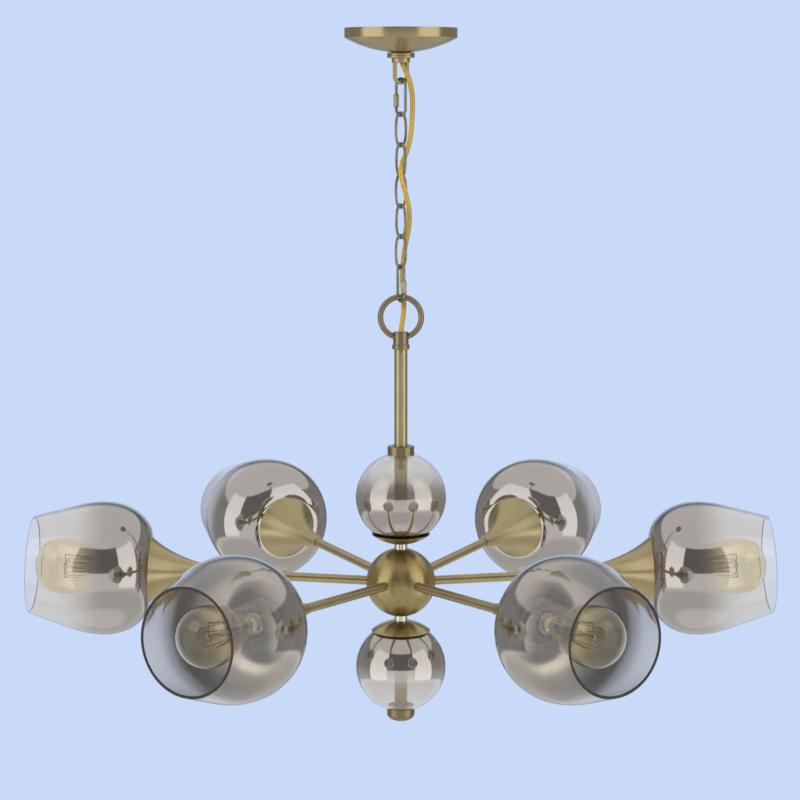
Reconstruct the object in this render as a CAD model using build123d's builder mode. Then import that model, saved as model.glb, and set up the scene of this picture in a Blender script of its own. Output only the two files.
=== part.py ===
from build123d import *
from math import cos, exp, log, pi, radians, sin, sqrt, tan
import os

# Six-arm chandelier that hangs from a ceiling strap on a chain, in millimetres.
# The ceiling plane is Z = 0, Z points up, and the lamp hangs below on the Z axis.

# Ceiling strap, nipple and canopy
strap_end_gap = 4.3
strap_width = 20.0
strap_thickness = 2.0
slot_from_end = 13.55
slot_length = 18.0
slot_width = 5.2
nipple_radius = 5.0
nipple_bore = 3.2
nipple_grip = 11.7
lock_nut_flats = 14.0
lock_nut_height = 4.0
ground_screw_place = 25.0
ground_screw_radius = 2.0
ground_screw_head = 4.0
ground_screw_head_height = 2.5
canopy_radius = 63.5
canopy_rim_height = 11.0
canopy_dome_height = 16.4
canopy_wall = 1.2
canopy_hole_gap = 0.6

# Screw collar and the loop that the chain hangs from
collar_radius = 15.6
collar_height = 6.1
collar_edge = 0.9
loop_shank_radius = 10.9
loop_shank_length = 15.5
loop_body_radius = 10.3
loop_body_height = 5.0
loop_exit_bore = 4.4
bail_wire = 4.7
bail_width = 14.5
bail_drop = 19.6
bail_turn = 20.0

# Chain: oval links, and a quick link with a threaded sleeve at each end
link_wire = 3.0
link_width = 15.0
link_inner_length = 34.7
link_count = 5
link_turn_odd = 42.0
link_turn_even = -48.0
quick_wire = 3.3
quick_width = 15.0
quick_inner_length = 38.0
quick_turn_top = -47.0
quick_turn_bottom = -62.0
sleeve_flats = 6.4
sleeve_length = 14.5
sleeve_above_bend = 2.0
sleeve_gap_start = 1.8
sleeve_gap_length = 5.0
sleeve_bore_gap = 0.1
chain_gap = 0.3

# Hanging ring, its coupling and the stem
ring_radius = 23.25
ring_wire = 6.5
coupling_radius = 8.8
coupling_length = 19.5
coupling_in_ring = 3.2
coupling_cord_depth = 8.0
flange_radius = 9.9
flange_height = 5.0
stem_radius = 7.5
stem_wall = 1.2
stem_exposed = 112.1
rod_radius = 5.0
rod_bore = 3.0

# Glass balls, their cups, and the hub between them
ball_radius = 52.0
ball_wall = 2.5
ball_hole_gap = 0.4
ball_collar_radius = 15.4
ball_collar_rise = 7.4
cup_wall = 2.0
cup_rim_radius = 31.0
gasket_thickness = 1.0
gasket_depth = 3.0
gasket_proud = 1.2
neck_radius = 7.5
neck_length = 5.0
hub_radius = 40.0
hub_wall = 3.0
hub_seam_height = 23.0
finial_radius = 16.0
finial_drop = 13.0
finial_dome_height = 8.0
finial_thread_cover = 5.0

# Arms, trumpets, sockets, shades and bulbs, measured along each arm from the hub's centre
arm_count = 6
arm_tilt = 2.8
arm_radius = 5.25
arm_wall = 1.35
arm_inside_nut = 1.0
nut_flats = 14.0
nut_thickness = 4.0
shade_seat = 289.6
trumpet_radius = 38.5
trumpet_flare = 46.0
trumpet_lip = 0.77
trumpet_wall = 1.5
trumpet_plate = 3.0
trumpet_points = 7
socket_back_radius = 16.0
socket_back_length = 20.0
socket_grip = 5.0
socket_skirt_radius = 19.0
socket_skirt_length = 20.0
socket_bore_gap = 0.3
socket_depth = 27.6
shade_hole_gap = 2.0
shade_base_radius = 37.0
shade_bulge_at = 52.0
shade_radius = 76.8
shade_side_radius = 115.0
shade_taper = 16.7
shade_length = 137.2
shade_wall = 3.0
shade_ring_radius = 27.5
shade_ring_height = 4.0
shade_ring_gap = 0.2
bulb_length = 140.0
bulb_radius = 32.0
bulb_dome = 30.0
bulb_shoulder = 61.0
bulb_shoulder_radius = 27.0
bulb_neck = 113.0
bulb_neck_step = 0.3
bulb_cap_radius = 13.0
bulb_contact_radius = 4.5
bulb_contact_height = 6.0
bulb_wall = 1.0
wire_radius = 1.1
wire_hole_gap = 0.4

# Fits
thread_gap = 0.05
slip_gap = 0.1
seat_gap = 0.3

# Supply cord: a round tube of the flat twin cord's width, on points chosen by hand
cord_diameter = 4.6
cord_points = [
    (0.0, 0.0, -25.0),
    (0.0, 0.0, -36.0),
    (4.0, -2.9, -45.0),
    (9.0, -4.0, -55.5),
    (12.6, -1.4, -70.0),
    (13.4, 1.0, -88.0),
    (12.2, 0.6, -108.0),
    (10.4, 1.6, -125.0),
    (6.2, 1.8, -139.0),
    (1.2, -1.9, -150.5),
    (-0.5, -7.3, -161.5),
    (2.6, -8.8, -175.0),
    (6.8, -5.6, -189.5),
    (9.8, -1.2, -205.0),
    (9.4, 5.0, -221.0),
    (6.8, 10.2, -235.5),
    (3.4, 10.6, -252.0),
    (2.0, 9.6, -270.0),
    (2.2, 9.4, -288.0),
    (3.4, 8.2, -304.0),
    (3.4, 4.0, -319.0),
    (1.4, 0.8, -332.0),
    (0.0, 0.0, -341.0),
    (0.0, 0.0, -348.0),
]

os.makedirs("parts", exist_ok=True)

# The strap fills the canopy's inside, and its slots keep their place from its ends
strap_length = 2 * (canopy_radius - canopy_wall - strap_end_gap)
slot_spacing = strap_length - 2 * slot_from_end

# Levels from the ceiling down to the finial
rim_level = -canopy_rim_height
dome_level = rim_level - canopy_dome_height
collar_level = dome_level - collar_height
nipple_length = nipple_grip - collar_level - loop_shank_length
loop_level = collar_level - loop_body_height
bail_level = loop_level - bail_drop
quick_top_level = bail_level + chain_gap
link_top_level = quick_top_level - quick_inner_length + chain_gap
link_pitch = link_inner_length - chain_gap
quick_bottom_level = link_top_level - link_count * link_pitch
ring_inner_level = quick_bottom_level - quick_inner_length + chain_gap
ring_inner_radius = ring_radius - ring_wire / 2
ring_level = ring_inner_level - ring_inner_radius
coupling_top = ring_level - ring_inner_radius + coupling_in_ring
coupling_bottom = coupling_top - coupling_length
rod_top = coupling_top - coupling_cord_depth
ball_collar_top = coupling_bottom - stem_exposed
upper_ball_level = ball_collar_top - ball_collar_rise - ball_radius
cup_inner = ball_radius + gasket_thickness
cup_outer = cup_inner + cup_wall
ball_to_hub = cup_outer + neck_length + hub_radius
hub_level = upper_ball_level - ball_to_hub
lower_ball_level = hub_level - ball_to_hub
finial_level = lower_ball_level - ball_radius - finial_drop
rod_bottom = finial_level + finial_thread_cover
rod_hole = rod_radius + thread_gap
stem_bore = stem_radius - stem_wall

# Stations along an arm
hub_centre = (0, 0, hub_level)
hub_inner = hub_radius - hub_wall
nut_corner = nut_flats / sqrt(3)
nut_end = sqrt(hub_inner**2 - nut_corner**2) - slip_gap
arm_start = nut_end - nut_thickness - arm_inside_nut
arm_bore = arm_radius - arm_wall
arm_hole = arm_radius + thread_gap
trumpet_length = trumpet_flare * log(trumpet_radius / (arm_hole + trumpet_lip))
bulb_neck_radius = bulb_cap_radius + bulb_neck_step
socket_bore = bulb_neck_radius + socket_bore_gap
socket_start = shade_seat - socket_back_length
arm_end = socket_start + socket_grip
socket_mouth = shade_seat + socket_skirt_length
bulb_base = socket_mouth - socket_depth + seat_gap
bulb_tip = bulb_base + bulb_length


def hanging_plane(turn):
    """Upright plane through the Z axis, turned about it: local x is sideways and local y is up."""
    angle = radians(turn)
    return Plane(origin=(0, 0, 0), x_dir=(cos(angle), sin(angle), 0), z_dir=(sin(angle), -cos(angle), 0))


def arm_direction(index):
    """Unit vector along an arm; the first points along +X and the rest follow anticlockwise."""
    around = 2 * pi * index / arm_count
    tilt = radians(arm_tilt)
    return Vector(cos(tilt) * cos(around), cos(tilt) * sin(around), sin(tilt))


def arm_plane(index):
    """Upright plane through an arm: local x runs out along it from the hub's centre."""
    around = 2 * pi * index / arm_count
    return Plane(origin=hub_centre, x_dir=arm_direction(index), z_dir=(sin(around), -cos(around), 0))


def arm_axis(index):
    return Axis(hub_centre, arm_direction(index))


def arm_section(index, distance):
    """Plane square to an arm at a distance from the hub's centre."""
    side = arm_plane(index).z_dir
    along = arm_direction(index)
    return Plane(origin=Vector(hub_centre) + along * distance, x_dir=side, z_dir=along)


# Ceiling strap with two slots for the screws of the ceiling box
with BuildPart() as crossbar:
    with BuildSketch(Plane.XY.offset(-strap_thickness)):
        Rectangle(strap_length, strap_width)
        with Locations((-slot_spacing / 2, 0), (slot_spacing / 2, 0)):
            SlotOverall(slot_length, slot_width, mode=Mode.SUBTRACT)
        Circle(nipple_radius + thread_gap, mode=Mode.SUBTRACT)
        with Locations((ground_screw_place, 0)):
            Circle(ground_screw_radius + thread_gap, mode=Mode.SUBTRACT)
    extrude(amount=strap_thickness)
crossbar.part.label = "crossbar"
export_step(crossbar.part, "parts/crossbar.step")

# Threaded pipe nipple that carries the loop
with BuildPart() as nipple:
    with BuildSketch(Plane.XY.offset(-nipple_length)):
        Circle(nipple_radius)
        Circle(nipple_bore, mode=Mode.SUBTRACT)
    extrude(amount=nipple_length)
nipple.part.label = "nipple"
export_step(nipple.part, "parts/nipple.step")

# Hexagon nut that locks the nipple under the strap
with BuildPart() as lock_nut:
    with BuildSketch(Plane.XY.offset(-strap_thickness - lock_nut_height)):
        RegularPolygon(lock_nut_flats / 2, 6, major_radius=False)
        Circle(nipple_radius + thread_gap, mode=Mode.SUBTRACT)
    extrude(amount=lock_nut_height)
lock_nut.part.label = "lock_nut"
export_step(lock_nut.part, "parts/lock_nut.step")

# Earth screw in the strap
with BuildPart() as ground_screw:
    with BuildSketch(Plane.XY.offset(-strap_thickness - ground_screw_head_height)):
        with Locations((ground_screw_place, 0)):
            Circle(ground_screw_head)
    extrude(amount=ground_screw_head_height)
    with BuildSketch(Plane.XY.offset(-strap_thickness)):
        with Locations((ground_screw_place, 0)):
            Circle(ground_screw_radius)
    extrude(amount=strap_thickness)
ground_screw.part.label = "ground_screw"
export_step(ground_screw.part, "parts/ground_screw.step")

# Canopy: a straight rim and a shallow dome with a hole for the loop's shank
dome_radius = (canopy_radius**2 + canopy_dome_height**2) / (2 * canopy_dome_height)
dome_centre = dome_level + dome_radius
canopy_hole = loop_shank_radius + canopy_hole_gap


def dome_point(radius, inset):
    """Point of the dome's outline at a radius, inset from its outer face."""
    return (radius, dome_centre - sqrt((dome_radius - inset) ** 2 - radius**2))


with BuildPart() as canopy:
    with BuildSketch(Plane.XZ):
        with BuildLine():
            inner_edge = canopy_radius - canopy_wall
            middle = canopy_radius / 2
            Line((canopy_radius, 0), dome_point(canopy_radius, 0))
            ThreePointArc(dome_point(canopy_radius, 0), dome_point(middle, 0), dome_point(canopy_hole, 0))
            Line(dome_point(canopy_hole, 0), dome_point(canopy_hole, canopy_wall))
            ThreePointArc(
                dome_point(canopy_hole, canopy_wall),
                dome_point(middle, canopy_wall),
                dome_point(inner_edge, canopy_wall),
            )
            Line(dome_point(inner_edge, canopy_wall), (inner_edge, 0))
            Line((inner_edge, 0), (canopy_radius, 0))
        make_face()
    revolve(axis=Axis.Z)
canopy.part.label = "canopy"
export_step(canopy.part, "parts/canopy.step")

# Screw collar that holds the canopy up against the ceiling
with BuildPart() as screw_collar:
    with BuildSketch(Plane.XY.offset(collar_level)):
        Circle(collar_radius)
    extrude(amount=collar_height)
    chamfer(screw_collar.edges().filter_by(GeomType.CIRCLE), length=collar_edge)
    with BuildSketch(Plane.XY.offset(collar_level)):
        Circle(loop_shank_radius + slip_gap)
    extrude(amount=collar_height, mode=Mode.SUBTRACT)
screw_collar.part.label = "screw_collar"
export_step(screw_collar.part, "parts/screw_collar.step")

# Loop: a threaded shank, a round body and the bail that the chain hangs from
with BuildPart() as canopy_loop:
    shank_top = collar_level + loop_shank_length
    with BuildSketch(Plane.XY.offset(collar_level)):
        Circle(loop_shank_radius)
    extrude(amount=loop_shank_length)
    with BuildSketch(Plane.XY.offset(loop_level)):
        Circle(loop_body_radius)
    extrude(amount=loop_body_height)
    with BuildLine(hanging_plane(bail_turn)) as bail_path:
        half = bail_width / 2
        bend = bail_level - bail_wire / 2 + half
        Line((-half, loop_level + bail_wire / 2), (-half, bend))
        ThreePointArc((-half, bend), (0, bend - half), (half, bend))
        Line((half, bend), (half, loop_level + bail_wire / 2))
    with BuildSketch(Plane(origin=bail_path.line @ 0, z_dir=bail_path.line % 0)):
        Circle(bail_wire / 2)
    sweep(path=bail_path.line)
    with BuildSketch(Plane.XY.offset(loop_level)):
        Circle(loop_exit_bore)
    extrude(amount=loop_body_height + loop_shank_length, mode=Mode.SUBTRACT)
    with BuildSketch(Plane.XY.offset(-nipple_length - seat_gap)):
        Circle(nipple_radius + thread_gap)
    extrude(amount=shank_top + nipple_length + seat_gap, mode=Mode.SUBTRACT)
canopy_loop.part.label = "canopy_loop"
export_step(canopy_loop.part, "parts/canopy_loop.step")

# Plain chain links, each a quarter turn from the next
for number in range(1, link_count + 1):
    with BuildPart() as chain_link:
        turn = link_turn_odd if number % 2 else link_turn_even
        half = link_width / 2
        upper = link_top_level - (number - 1) * link_pitch + link_wire / 2 - half
        lower = upper - (link_inner_length + link_wire - link_width)
        with BuildLine(hanging_plane(turn)) as link_path:
            Line((half, upper), (half, lower))
            ThreePointArc((half, lower), (0, lower - half), (-half, lower))
            Line((-half, lower), (-half, upper))
            ThreePointArc((-half, upper), (0, upper + half), (half, upper))
        with BuildSketch(Plane(origin=link_path.line @ 0, z_dir=link_path.line % 0)):
            Circle(link_wire / 2)
        sweep(path=link_path.line)
    chain_link.part.label = f"chain_link_{number}"
    export_step(chain_link.part, f"parts/chain_link_{number}.step")

# Quick links: an oval wire with a gap in one leg, closed by a threaded sleeve
for place, inner_top, turn, side in (
    ("top", quick_top_level, quick_turn_top, -1),
    ("bottom", quick_bottom_level, quick_turn_bottom, 1),
):
    half = quick_width / 2
    upper = inner_top + quick_wire / 2 - half
    lower = upper - (quick_inner_length + quick_wire - quick_width)
    sleeve_low = lower + sleeve_above_bend
    gap_low = sleeve_low + sleeve_gap_start
    gap_high = gap_low + sleeve_gap_length
    leg = side * half
    with BuildPart() as quick_link:
        with BuildLine(hanging_plane(turn)) as quick_path:
            Line((leg, gap_low), (leg, lower))
            ThreePointArc((leg, lower), (0, lower - half), (-leg, lower))
            Line((-leg, lower), (-leg, upper))
            ThreePointArc((-leg, upper), (0, upper + half), (leg, upper))
            Line((leg, upper), (leg, gap_high))
        with BuildSketch(Plane(origin=quick_path.line @ 0, z_dir=quick_path.line % 0)):
            Circle(quick_wire / 2)
        sweep(path=quick_path.line)
    quick_link.part.label = f"quick_link_{place}"
    export_step(quick_link.part, f"parts/quick_link_{place}.step")

    with BuildPart() as quick_sleeve:
        with BuildSketch(Plane.XY.offset(sleeve_low)):
            with Locations((leg * cos(radians(turn)), leg * sin(radians(turn)))):
                RegularPolygon(sleeve_flats / 2, 6, major_radius=False)
                Circle(quick_wire / 2 + sleeve_bore_gap, mode=Mode.SUBTRACT)
        extrude(amount=sleeve_length)
    quick_sleeve.part.label = f"quick_link_{place}_sleeve"
    export_step(quick_sleeve.part, f"parts/quick_link_{place}_sleeve.step")


def cord_bend(before, corner, after):
    """Radius of the arc at a corner of the cord: as large as its two runs allow."""
    run_in = Vector(corner) - Vector(before)
    run_out = Vector(after) - Vector(corner)
    half_turn = radians(run_in.get_angle(run_out)) / 2
    return 0.45 * min(run_in.length, run_out.length) / tan(half_turn)


# Supply cord from the nipple, woven down the chain into the coupling
bends = [cord_bend(*corner) for corner in zip(cord_points, cord_points[1:], cord_points[2:])]
print("cord bend radii", [round(bend, 1) for bend in bends])
with BuildPart() as supply_cord:
    with BuildLine() as cord_path:
        FilletPolyline(*cord_points, radius=bends)
    with BuildSketch(Plane(origin=cord_path.line @ 0, z_dir=cord_path.line % 0)):
        Circle(cord_diameter / 2)
    sweep(path=cord_path.line)
cord_length = cord_path.wire().length
print("cord length", round(cord_length, 1), "volume", round(supply_cord.part.volume, 1))
print("section times length", round(pi * cord_diameter**2 / 4 * cord_length, 1))
supply_cord.part.label = "supply_cord"
export_step(supply_cord.part, "parts/supply_cord.step")

# Hanging ring, open at the bottom where its two ends butt on the coupling
with BuildPart() as hanging_ring:
    with Locations((0, 0, ring_level)):
        Torus(ring_radius, ring_wire / 2, rotation=(90, 0, 0))
    with BuildSketch(Plane.XY.offset(coupling_bottom)):
        Circle(coupling_radius)
    extrude(amount=coupling_length, mode=Mode.SUBTRACT)
hanging_ring.part.label = "hanging_ring"
export_step(hanging_ring.part, "parts/hanging_ring.step")

# Coupling between the ring and the stem, with a flange at its foot
with BuildPart() as ring_coupling:
    with BuildSketch(Plane.XY.offset(coupling_bottom)):
        Circle(coupling_radius)
    extrude(amount=coupling_length)
    with BuildSketch(Plane.XY.offset(coupling_bottom)):
        Circle(flange_radius)
    extrude(amount=flange_height)
    with BuildSketch(Plane.XY.offset(coupling_bottom)):
        Circle(nipple_bore)
    extrude(amount=coupling_length, mode=Mode.SUBTRACT)
    with BuildSketch(Plane.XY.offset(coupling_bottom)):
        Circle(rod_hole)
    extrude(amount=rod_top - coupling_bottom, mode=Mode.SUBTRACT)
ring_coupling.part.label = "ring_coupling"
export_step(ring_coupling.part, "parts/ring_coupling.step")


def sphere_drop(sphere, radius):
    """Height of a sphere's surface above its centre at a distance from the axis."""
    return sqrt(sphere**2 - radius**2)


# Stem from the coupling, through the upper ball, to the cup under it
stem_bottom = upper_ball_level - sphere_drop(cup_inner, stem_radius)
with BuildPart() as stem_tube:
    with BuildSketch(Plane.XY.offset(stem_bottom)):
        Circle(stem_radius)
        Circle(stem_bore, mode=Mode.SUBTRACT)
    extrude(amount=coupling_bottom - stem_bottom)
stem_tube.part.label = "stem_tube"
export_step(stem_tube.part, "parts/stem_tube.step")

# Collar on top of the upper ball, hollowed to sit on the glass
with BuildPart() as upper_ball_collar:
    collar_foot = upper_ball_level + sphere_drop(ball_radius + slip_gap, ball_collar_radius)
    with BuildSketch(Plane.XY.offset(collar_foot)):
        Circle(ball_collar_radius)
        Circle(stem_radius + slip_gap, mode=Mode.SUBTRACT)
    extrude(amount=ball_collar_top - collar_foot)
    with Locations((0, 0, upper_ball_level)):
        Sphere(ball_radius + slip_gap, mode=Mode.SUBTRACT)
upper_ball_collar.part.label = "upper_ball_collar"
export_step(upper_ball_collar.part, "parts/upper_ball_collar.step")

# Two blown glass balls, each pierced top and bottom for the stem
for place, level in (("upper", upper_ball_level), ("lower", lower_ball_level)):
    with BuildPart() as glass_ball:
        with Locations((0, 0, level)):
            Sphere(ball_radius)
            Sphere(ball_radius - ball_wall, mode=Mode.SUBTRACT)
            Cylinder(stem_radius + ball_hole_gap, 2 * ball_radius, mode=Mode.SUBTRACT)
    glass_ball.part.label = f"{place}_glass_ball"
    export_step(glass_ball.part, f"parts/{place}_glass_ball.step")

# Metal cups between the balls and the hub
cup_rim = sphere_drop(cup_inner, cup_rim_radius)
for place, level, kept in (("upper", upper_ball_level, -1), ("lower", lower_ball_level, 1)):
    with BuildPart() as ball_cup:
        with Locations((0, 0, level)):
            Sphere(cup_outer)
            Sphere(cup_inner, mode=Mode.SUBTRACT)
            Cylinder(rod_hole, 2 * cup_outer, mode=Mode.SUBTRACT)
        side = Keep.TOP if kept > 0 else Keep.BOTTOM
        split(bisect_by=Plane.XY.offset(level + kept * cup_rim), keep=side)
    ball_cup.part.label = f"{place}_ball_cup"
    export_step(ball_cup.part, f"parts/{place}_ball_cup.step")

# Rubber gaskets between the balls and the rims of their cups
with BuildPart() as ball_gaskets:
    for level, kept in ((upper_ball_level, -1), (lower_ball_level, 1)):
        edge = level + kept * (cup_rim - gasket_proud)
        foot = level + kept * (cup_rim + gasket_depth)
        with BuildSketch(Plane.XY.offset(min(edge, foot))):
            Circle(cup_inner)
        ring_band = extrude(amount=abs(edge - foot), mode=Mode.PRIVATE)
        outer = Sphere(cup_inner - thread_gap, mode=Mode.PRIVATE)
        inner = Sphere(ball_radius + thread_gap, mode=Mode.PRIVATE)
        add((Pos(0, 0, level) * (outer - inner)) & ring_band)
ball_gaskets.part.label = "ball_gaskets"
export_step(ball_gaskets.part, "parts/ball_gaskets.step")

# Necks between the cups and the hub
with BuildPart() as hub_necks:
    for level in (upper_ball_level, lower_ball_level):
        with Locations((0, 0, (level + hub_level) / 2)):
            Cylinder(neck_radius, ball_to_hub)
    with Locations((0, 0, upper_ball_level), (0, 0, lower_ball_level)):
        Sphere(cup_outer, mode=Mode.SUBTRACT)
    with Locations(hub_centre):
        Sphere(hub_radius, mode=Mode.SUBTRACT)
        Cylinder(rod_hole, 2 * ball_to_hub, mode=Mode.SUBTRACT)
hub_necks.part.label = "hub_necks"
export_step(hub_necks.part, "parts/hub_necks.step")

# Hollow hub in two shells: the body holds the arms and the cap closes it
for name, side in (("hub_cap", Keep.TOP), ("hub_body", Keep.BOTTOM)):
    with BuildPart() as hub_shell:
        with Locations(hub_centre):
            Sphere(hub_radius)
            Sphere(hub_inner, mode=Mode.SUBTRACT)
            Cylinder(rod_hole, 2 * hub_radius, mode=Mode.SUBTRACT)
        for index in range(arm_count):
            with BuildSketch(arm_section(index, 0)):
                Circle(arm_hole)
            extrude(amount=2 * hub_radius, mode=Mode.SUBTRACT)
        split(bisect_by=Plane.XY.offset(hub_level + hub_seam_height), keep=side)
    hub_shell.part.label = name
    export_step(hub_shell.part, f"parts/{name}.step")

# Finial that screws onto the rod and holds the lower ball up
with BuildPart() as finial:
    finial_top = lower_ball_level - sphere_drop(ball_radius + slip_gap, finial_radius)
    finial_edge = finial_level + finial_dome_height
    with BuildSketch(Plane.XZ):
        with BuildLine():
            Line((0, finial_top), (finial_radius, finial_top))
            Line((finial_radius, finial_top), (finial_radius, finial_edge))
            EllipticalCenterArc((0, finial_edge), finial_radius, finial_dome_height, 270, arc_size=90)
            Line((0, finial_level), (0, finial_top))
        make_face()
    revolve(axis=Axis.Z)
    with Locations((0, 0, lower_ball_level)):
        Sphere(ball_radius + slip_gap, mode=Mode.SUBTRACT)
    with BuildSketch(Plane.XY.offset(rod_bottom - seat_gap)):
        Circle(rod_hole)
    extrude(amount=finial_top - rod_bottom + seat_gap, mode=Mode.SUBTRACT)
finial.part.label = "finial"
export_step(finial.part, "parts/finial.step")

# Sleeve over the rod inside the lower ball
with BuildPart() as lower_ball_sleeve:
    sleeve_top = lower_ball_level + sphere_drop(cup_inner, stem_radius)
    sleeve_foot = lower_ball_level - sphere_drop(ball_radius + slip_gap, stem_radius)
    with BuildSketch(Plane.XY.offset(sleeve_foot)):
        Circle(stem_radius)
        Circle(stem_bore, mode=Mode.SUBTRACT)
    extrude(amount=sleeve_top - sleeve_foot)
lower_ball_sleeve.part.label = "lower_ball_sleeve"
export_step(lower_ball_sleeve.part, "parts/lower_ball_sleeve.step")

# Hollow threaded rod that clamps the stack, with a wire hole for each arm
with BuildPart() as centre_rod:
    with BuildSketch(Plane.XY.offset(rod_bottom)):
        Circle(rod_radius)
        Circle(rod_bore, mode=Mode.SUBTRACT)
    extrude(amount=rod_top - rod_bottom)
    for index in range(arm_count):
        with BuildSketch(arm_section(index, 0)):
            Circle(wire_radius + wire_hole_gap)
        extrude(amount=2 * rod_radius, mode=Mode.SUBTRACT)
centre_rod.part.label = "centre_rod"
export_step(centre_rod.part, "parts/centre_rod.step")


def horn_radius(distance):
    """Outer radius of the trumpet, which falls off exponentially behind the shade's seat."""
    return trumpet_radius * exp(-distance / trumpet_flare)


def horn_points(first, last, inset):
    """Evenly spaced points of the trumpet's outline between two distances behind the seat."""
    step = (last - first) / (trumpet_points - 1)
    places = [first + step * number for number in range(trumpet_points)]
    return [(shade_seat - place, horn_radius(place) - inset) for place in places]


def shade_side(inset):
    """Draws one face of the glass: a quarter ellipse, a long arc and a straight taper to the rim."""
    taper = radians(shade_taper)
    bulge = shade_seat + shade_bulge_at
    rim = shade_seat + shade_length
    arc_radius = shade_side_radius - inset
    arc_centre = (bulge, shade_radius - shade_side_radius)
    arc_end = (bulge + arc_radius * sin(taper), arc_centre[1] + arc_radius * cos(taper))
    rim_end = (rim, arc_end[1] - (rim - arc_end[0]) * tan(taper))
    base = (shade_seat + inset, shade_base_radius)
    hole_edge = (shade_seat + inset, socket_skirt_radius + shade_hole_gap)
    Line(hole_edge, base)
    EllipticalCenterArc(
        (bulge, shade_base_radius),
        shade_bulge_at - inset,
        shade_radius - shade_base_radius - inset,
        90,
        arc_size=90,
    )
    CenterArc(arc_centre, arc_radius, 90, -shade_taper)
    Line(arc_end, rim_end)
    return hole_edge, rim_end


def envelope_side(start, inset):
    """Draws the bulb's glass from its neck to the tip, inset from its outer face."""
    belly = bulb_tip - bulb_dome
    shoulder = (bulb_tip - bulb_shoulder, bulb_shoulder_radius - inset)
    Spline(start, shoulder, (belly, bulb_radius - inset), tangents=[(1, 0), (1, 0)])
    EllipticalCenterArc((belly, 0), bulb_dome - inset, bulb_radius - inset, 0, arc_size=90)


for index in range(arm_count):
    number = index + 1

    # Arm tube from inside the hub to the back of its socket
    with BuildPart() as arm:
        with BuildSketch(arm_section(index, arm_start)):
            Circle(arm_radius)
            Circle(arm_bore, mode=Mode.SUBTRACT)
        extrude(amount=arm_end - arm_start)
    arm.part.label = f"arm_{number}"
    export_step(arm.part, f"parts/arm_{number}.step")

    # Flared trumpet with a plate across its wide end
    with BuildPart() as trumpet:
        bore_from = trumpet_flare * log(trumpet_radius / (arm_hole + trumpet_wall))
        with BuildSketch(arm_plane(index)):
            with BuildLine():
                outside = horn_points(0, trumpet_length, 0)
                inside = horn_points(trumpet_plate, bore_from, trumpet_wall)
                plate_edge = (shade_seat - trumpet_plate, socket_back_radius + slip_gap)
                seat_edge = (shade_seat, socket_back_radius + slip_gap)
                tail = (shade_seat - trumpet_length, arm_hole)
                Spline(*outside)
                Line(outside[-1], tail)
                Line(tail, inside[-1])
                Spline(*inside)
                Line(inside[0], plate_edge)
                Line(plate_edge, seat_edge)
                Line(seat_edge, outside[0])
            make_face()
        revolve(axis=arm_axis(index))
    trumpet.part.label = f"trumpet_{number}"
    export_step(trumpet.part, f"parts/trumpet_{number}.step")

    # Glass shade, open at its far end
    with BuildPart() as shade:
        with BuildSketch(arm_plane(index)):
            with BuildLine():
                outer_hole, outer_rim = shade_side(0)
                inner_hole, inner_rim = shade_side(shade_wall)
                Line(outer_rim, inner_rim)
                Line(outer_hole, inner_hole)
            make_face()
        revolve(axis=arm_axis(index))
    shade.part.label = f"shade_{number}"
    export_step(shade.part, f"parts/shade_{number}.step")

    # Filament bulb: a screw cap and a hollow glass envelope
    with BuildPart() as bulb:
        neck = bulb_tip - bulb_neck
        cap_start = bulb_base + bulb_contact_height
        with BuildSketch(arm_plane(index)):
            with BuildLine():
                Polyline(
                    (bulb_tip, 0),
                    (bulb_base, 0),
                    (bulb_base, bulb_contact_radius),
                    (cap_start, bulb_cap_radius),
                    (neck, bulb_cap_radius),
                    (neck, bulb_neck_radius),
                )
                envelope_side((neck, bulb_neck_radius), 0)
            make_face()
        revolve(axis=arm_axis(index))
        with BuildSketch(arm_plane(index)):
            with BuildLine():
                hollow = (neck + bulb_wall, bulb_neck_radius - bulb_wall)
                Polyline((bulb_tip - bulb_wall, 0), (hollow[0], 0), hollow)
                envelope_side(hollow, bulb_wall)
            make_face()
        revolve(axis=arm_axis(index), mode=Mode.SUBTRACT)
    bulb.part.label = f"bulb_{number}"
    export_step(bulb.part, f"parts/bulb_{number}.step")

# Lamp sockets: a back that passes the trumpet's plate and a skirt in front of it
with BuildPart() as sockets:
    for index in range(arm_count):
        with BuildSketch(arm_section(index, socket_start)):
            Circle(socket_back_radius)
        extrude(amount=socket_back_length)
        with BuildSketch(arm_section(index, shade_seat)):
            Circle(socket_skirt_radius)
        extrude(amount=socket_skirt_length)
        with BuildSketch(arm_section(index, socket_mouth - socket_depth)):
            Circle(socket_bore)
        extrude(amount=socket_depth, mode=Mode.SUBTRACT)
        with BuildSketch(arm_section(index, socket_start)):
            Circle(arm_hole)
        extrude(amount=socket_grip + seat_gap, mode=Mode.SUBTRACT)
sockets.part.label = "sockets"
export_step(sockets.part, "parts/sockets.step")

# Rings on the sockets' skirts that clamp the shades
with BuildPart() as shade_rings:
    for index in range(arm_count):
        with BuildSketch(arm_section(index, shade_seat + shade_wall)):
            Circle(shade_ring_radius)
            Circle(socket_skirt_radius + shade_ring_gap, mode=Mode.SUBTRACT)
        extrude(amount=shade_ring_height)
shade_rings.part.label = "shade_rings"
export_step(shade_rings.part, "parts/shade_rings.step")

# Nuts that hold the arms inside the hub
with BuildPart() as arm_nuts:
    for index in range(arm_count):
        with BuildSketch(arm_section(index, nut_end - nut_thickness)):
            RegularPolygon(nut_flats / 2, 6, major_radius=False)
            Circle(arm_hole, mode=Mode.SUBTRACT)
        extrude(amount=nut_thickness)
arm_nuts.part.label = "arm_nuts"
export_step(arm_nuts.part, "parts/arm_nuts.step")

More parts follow.
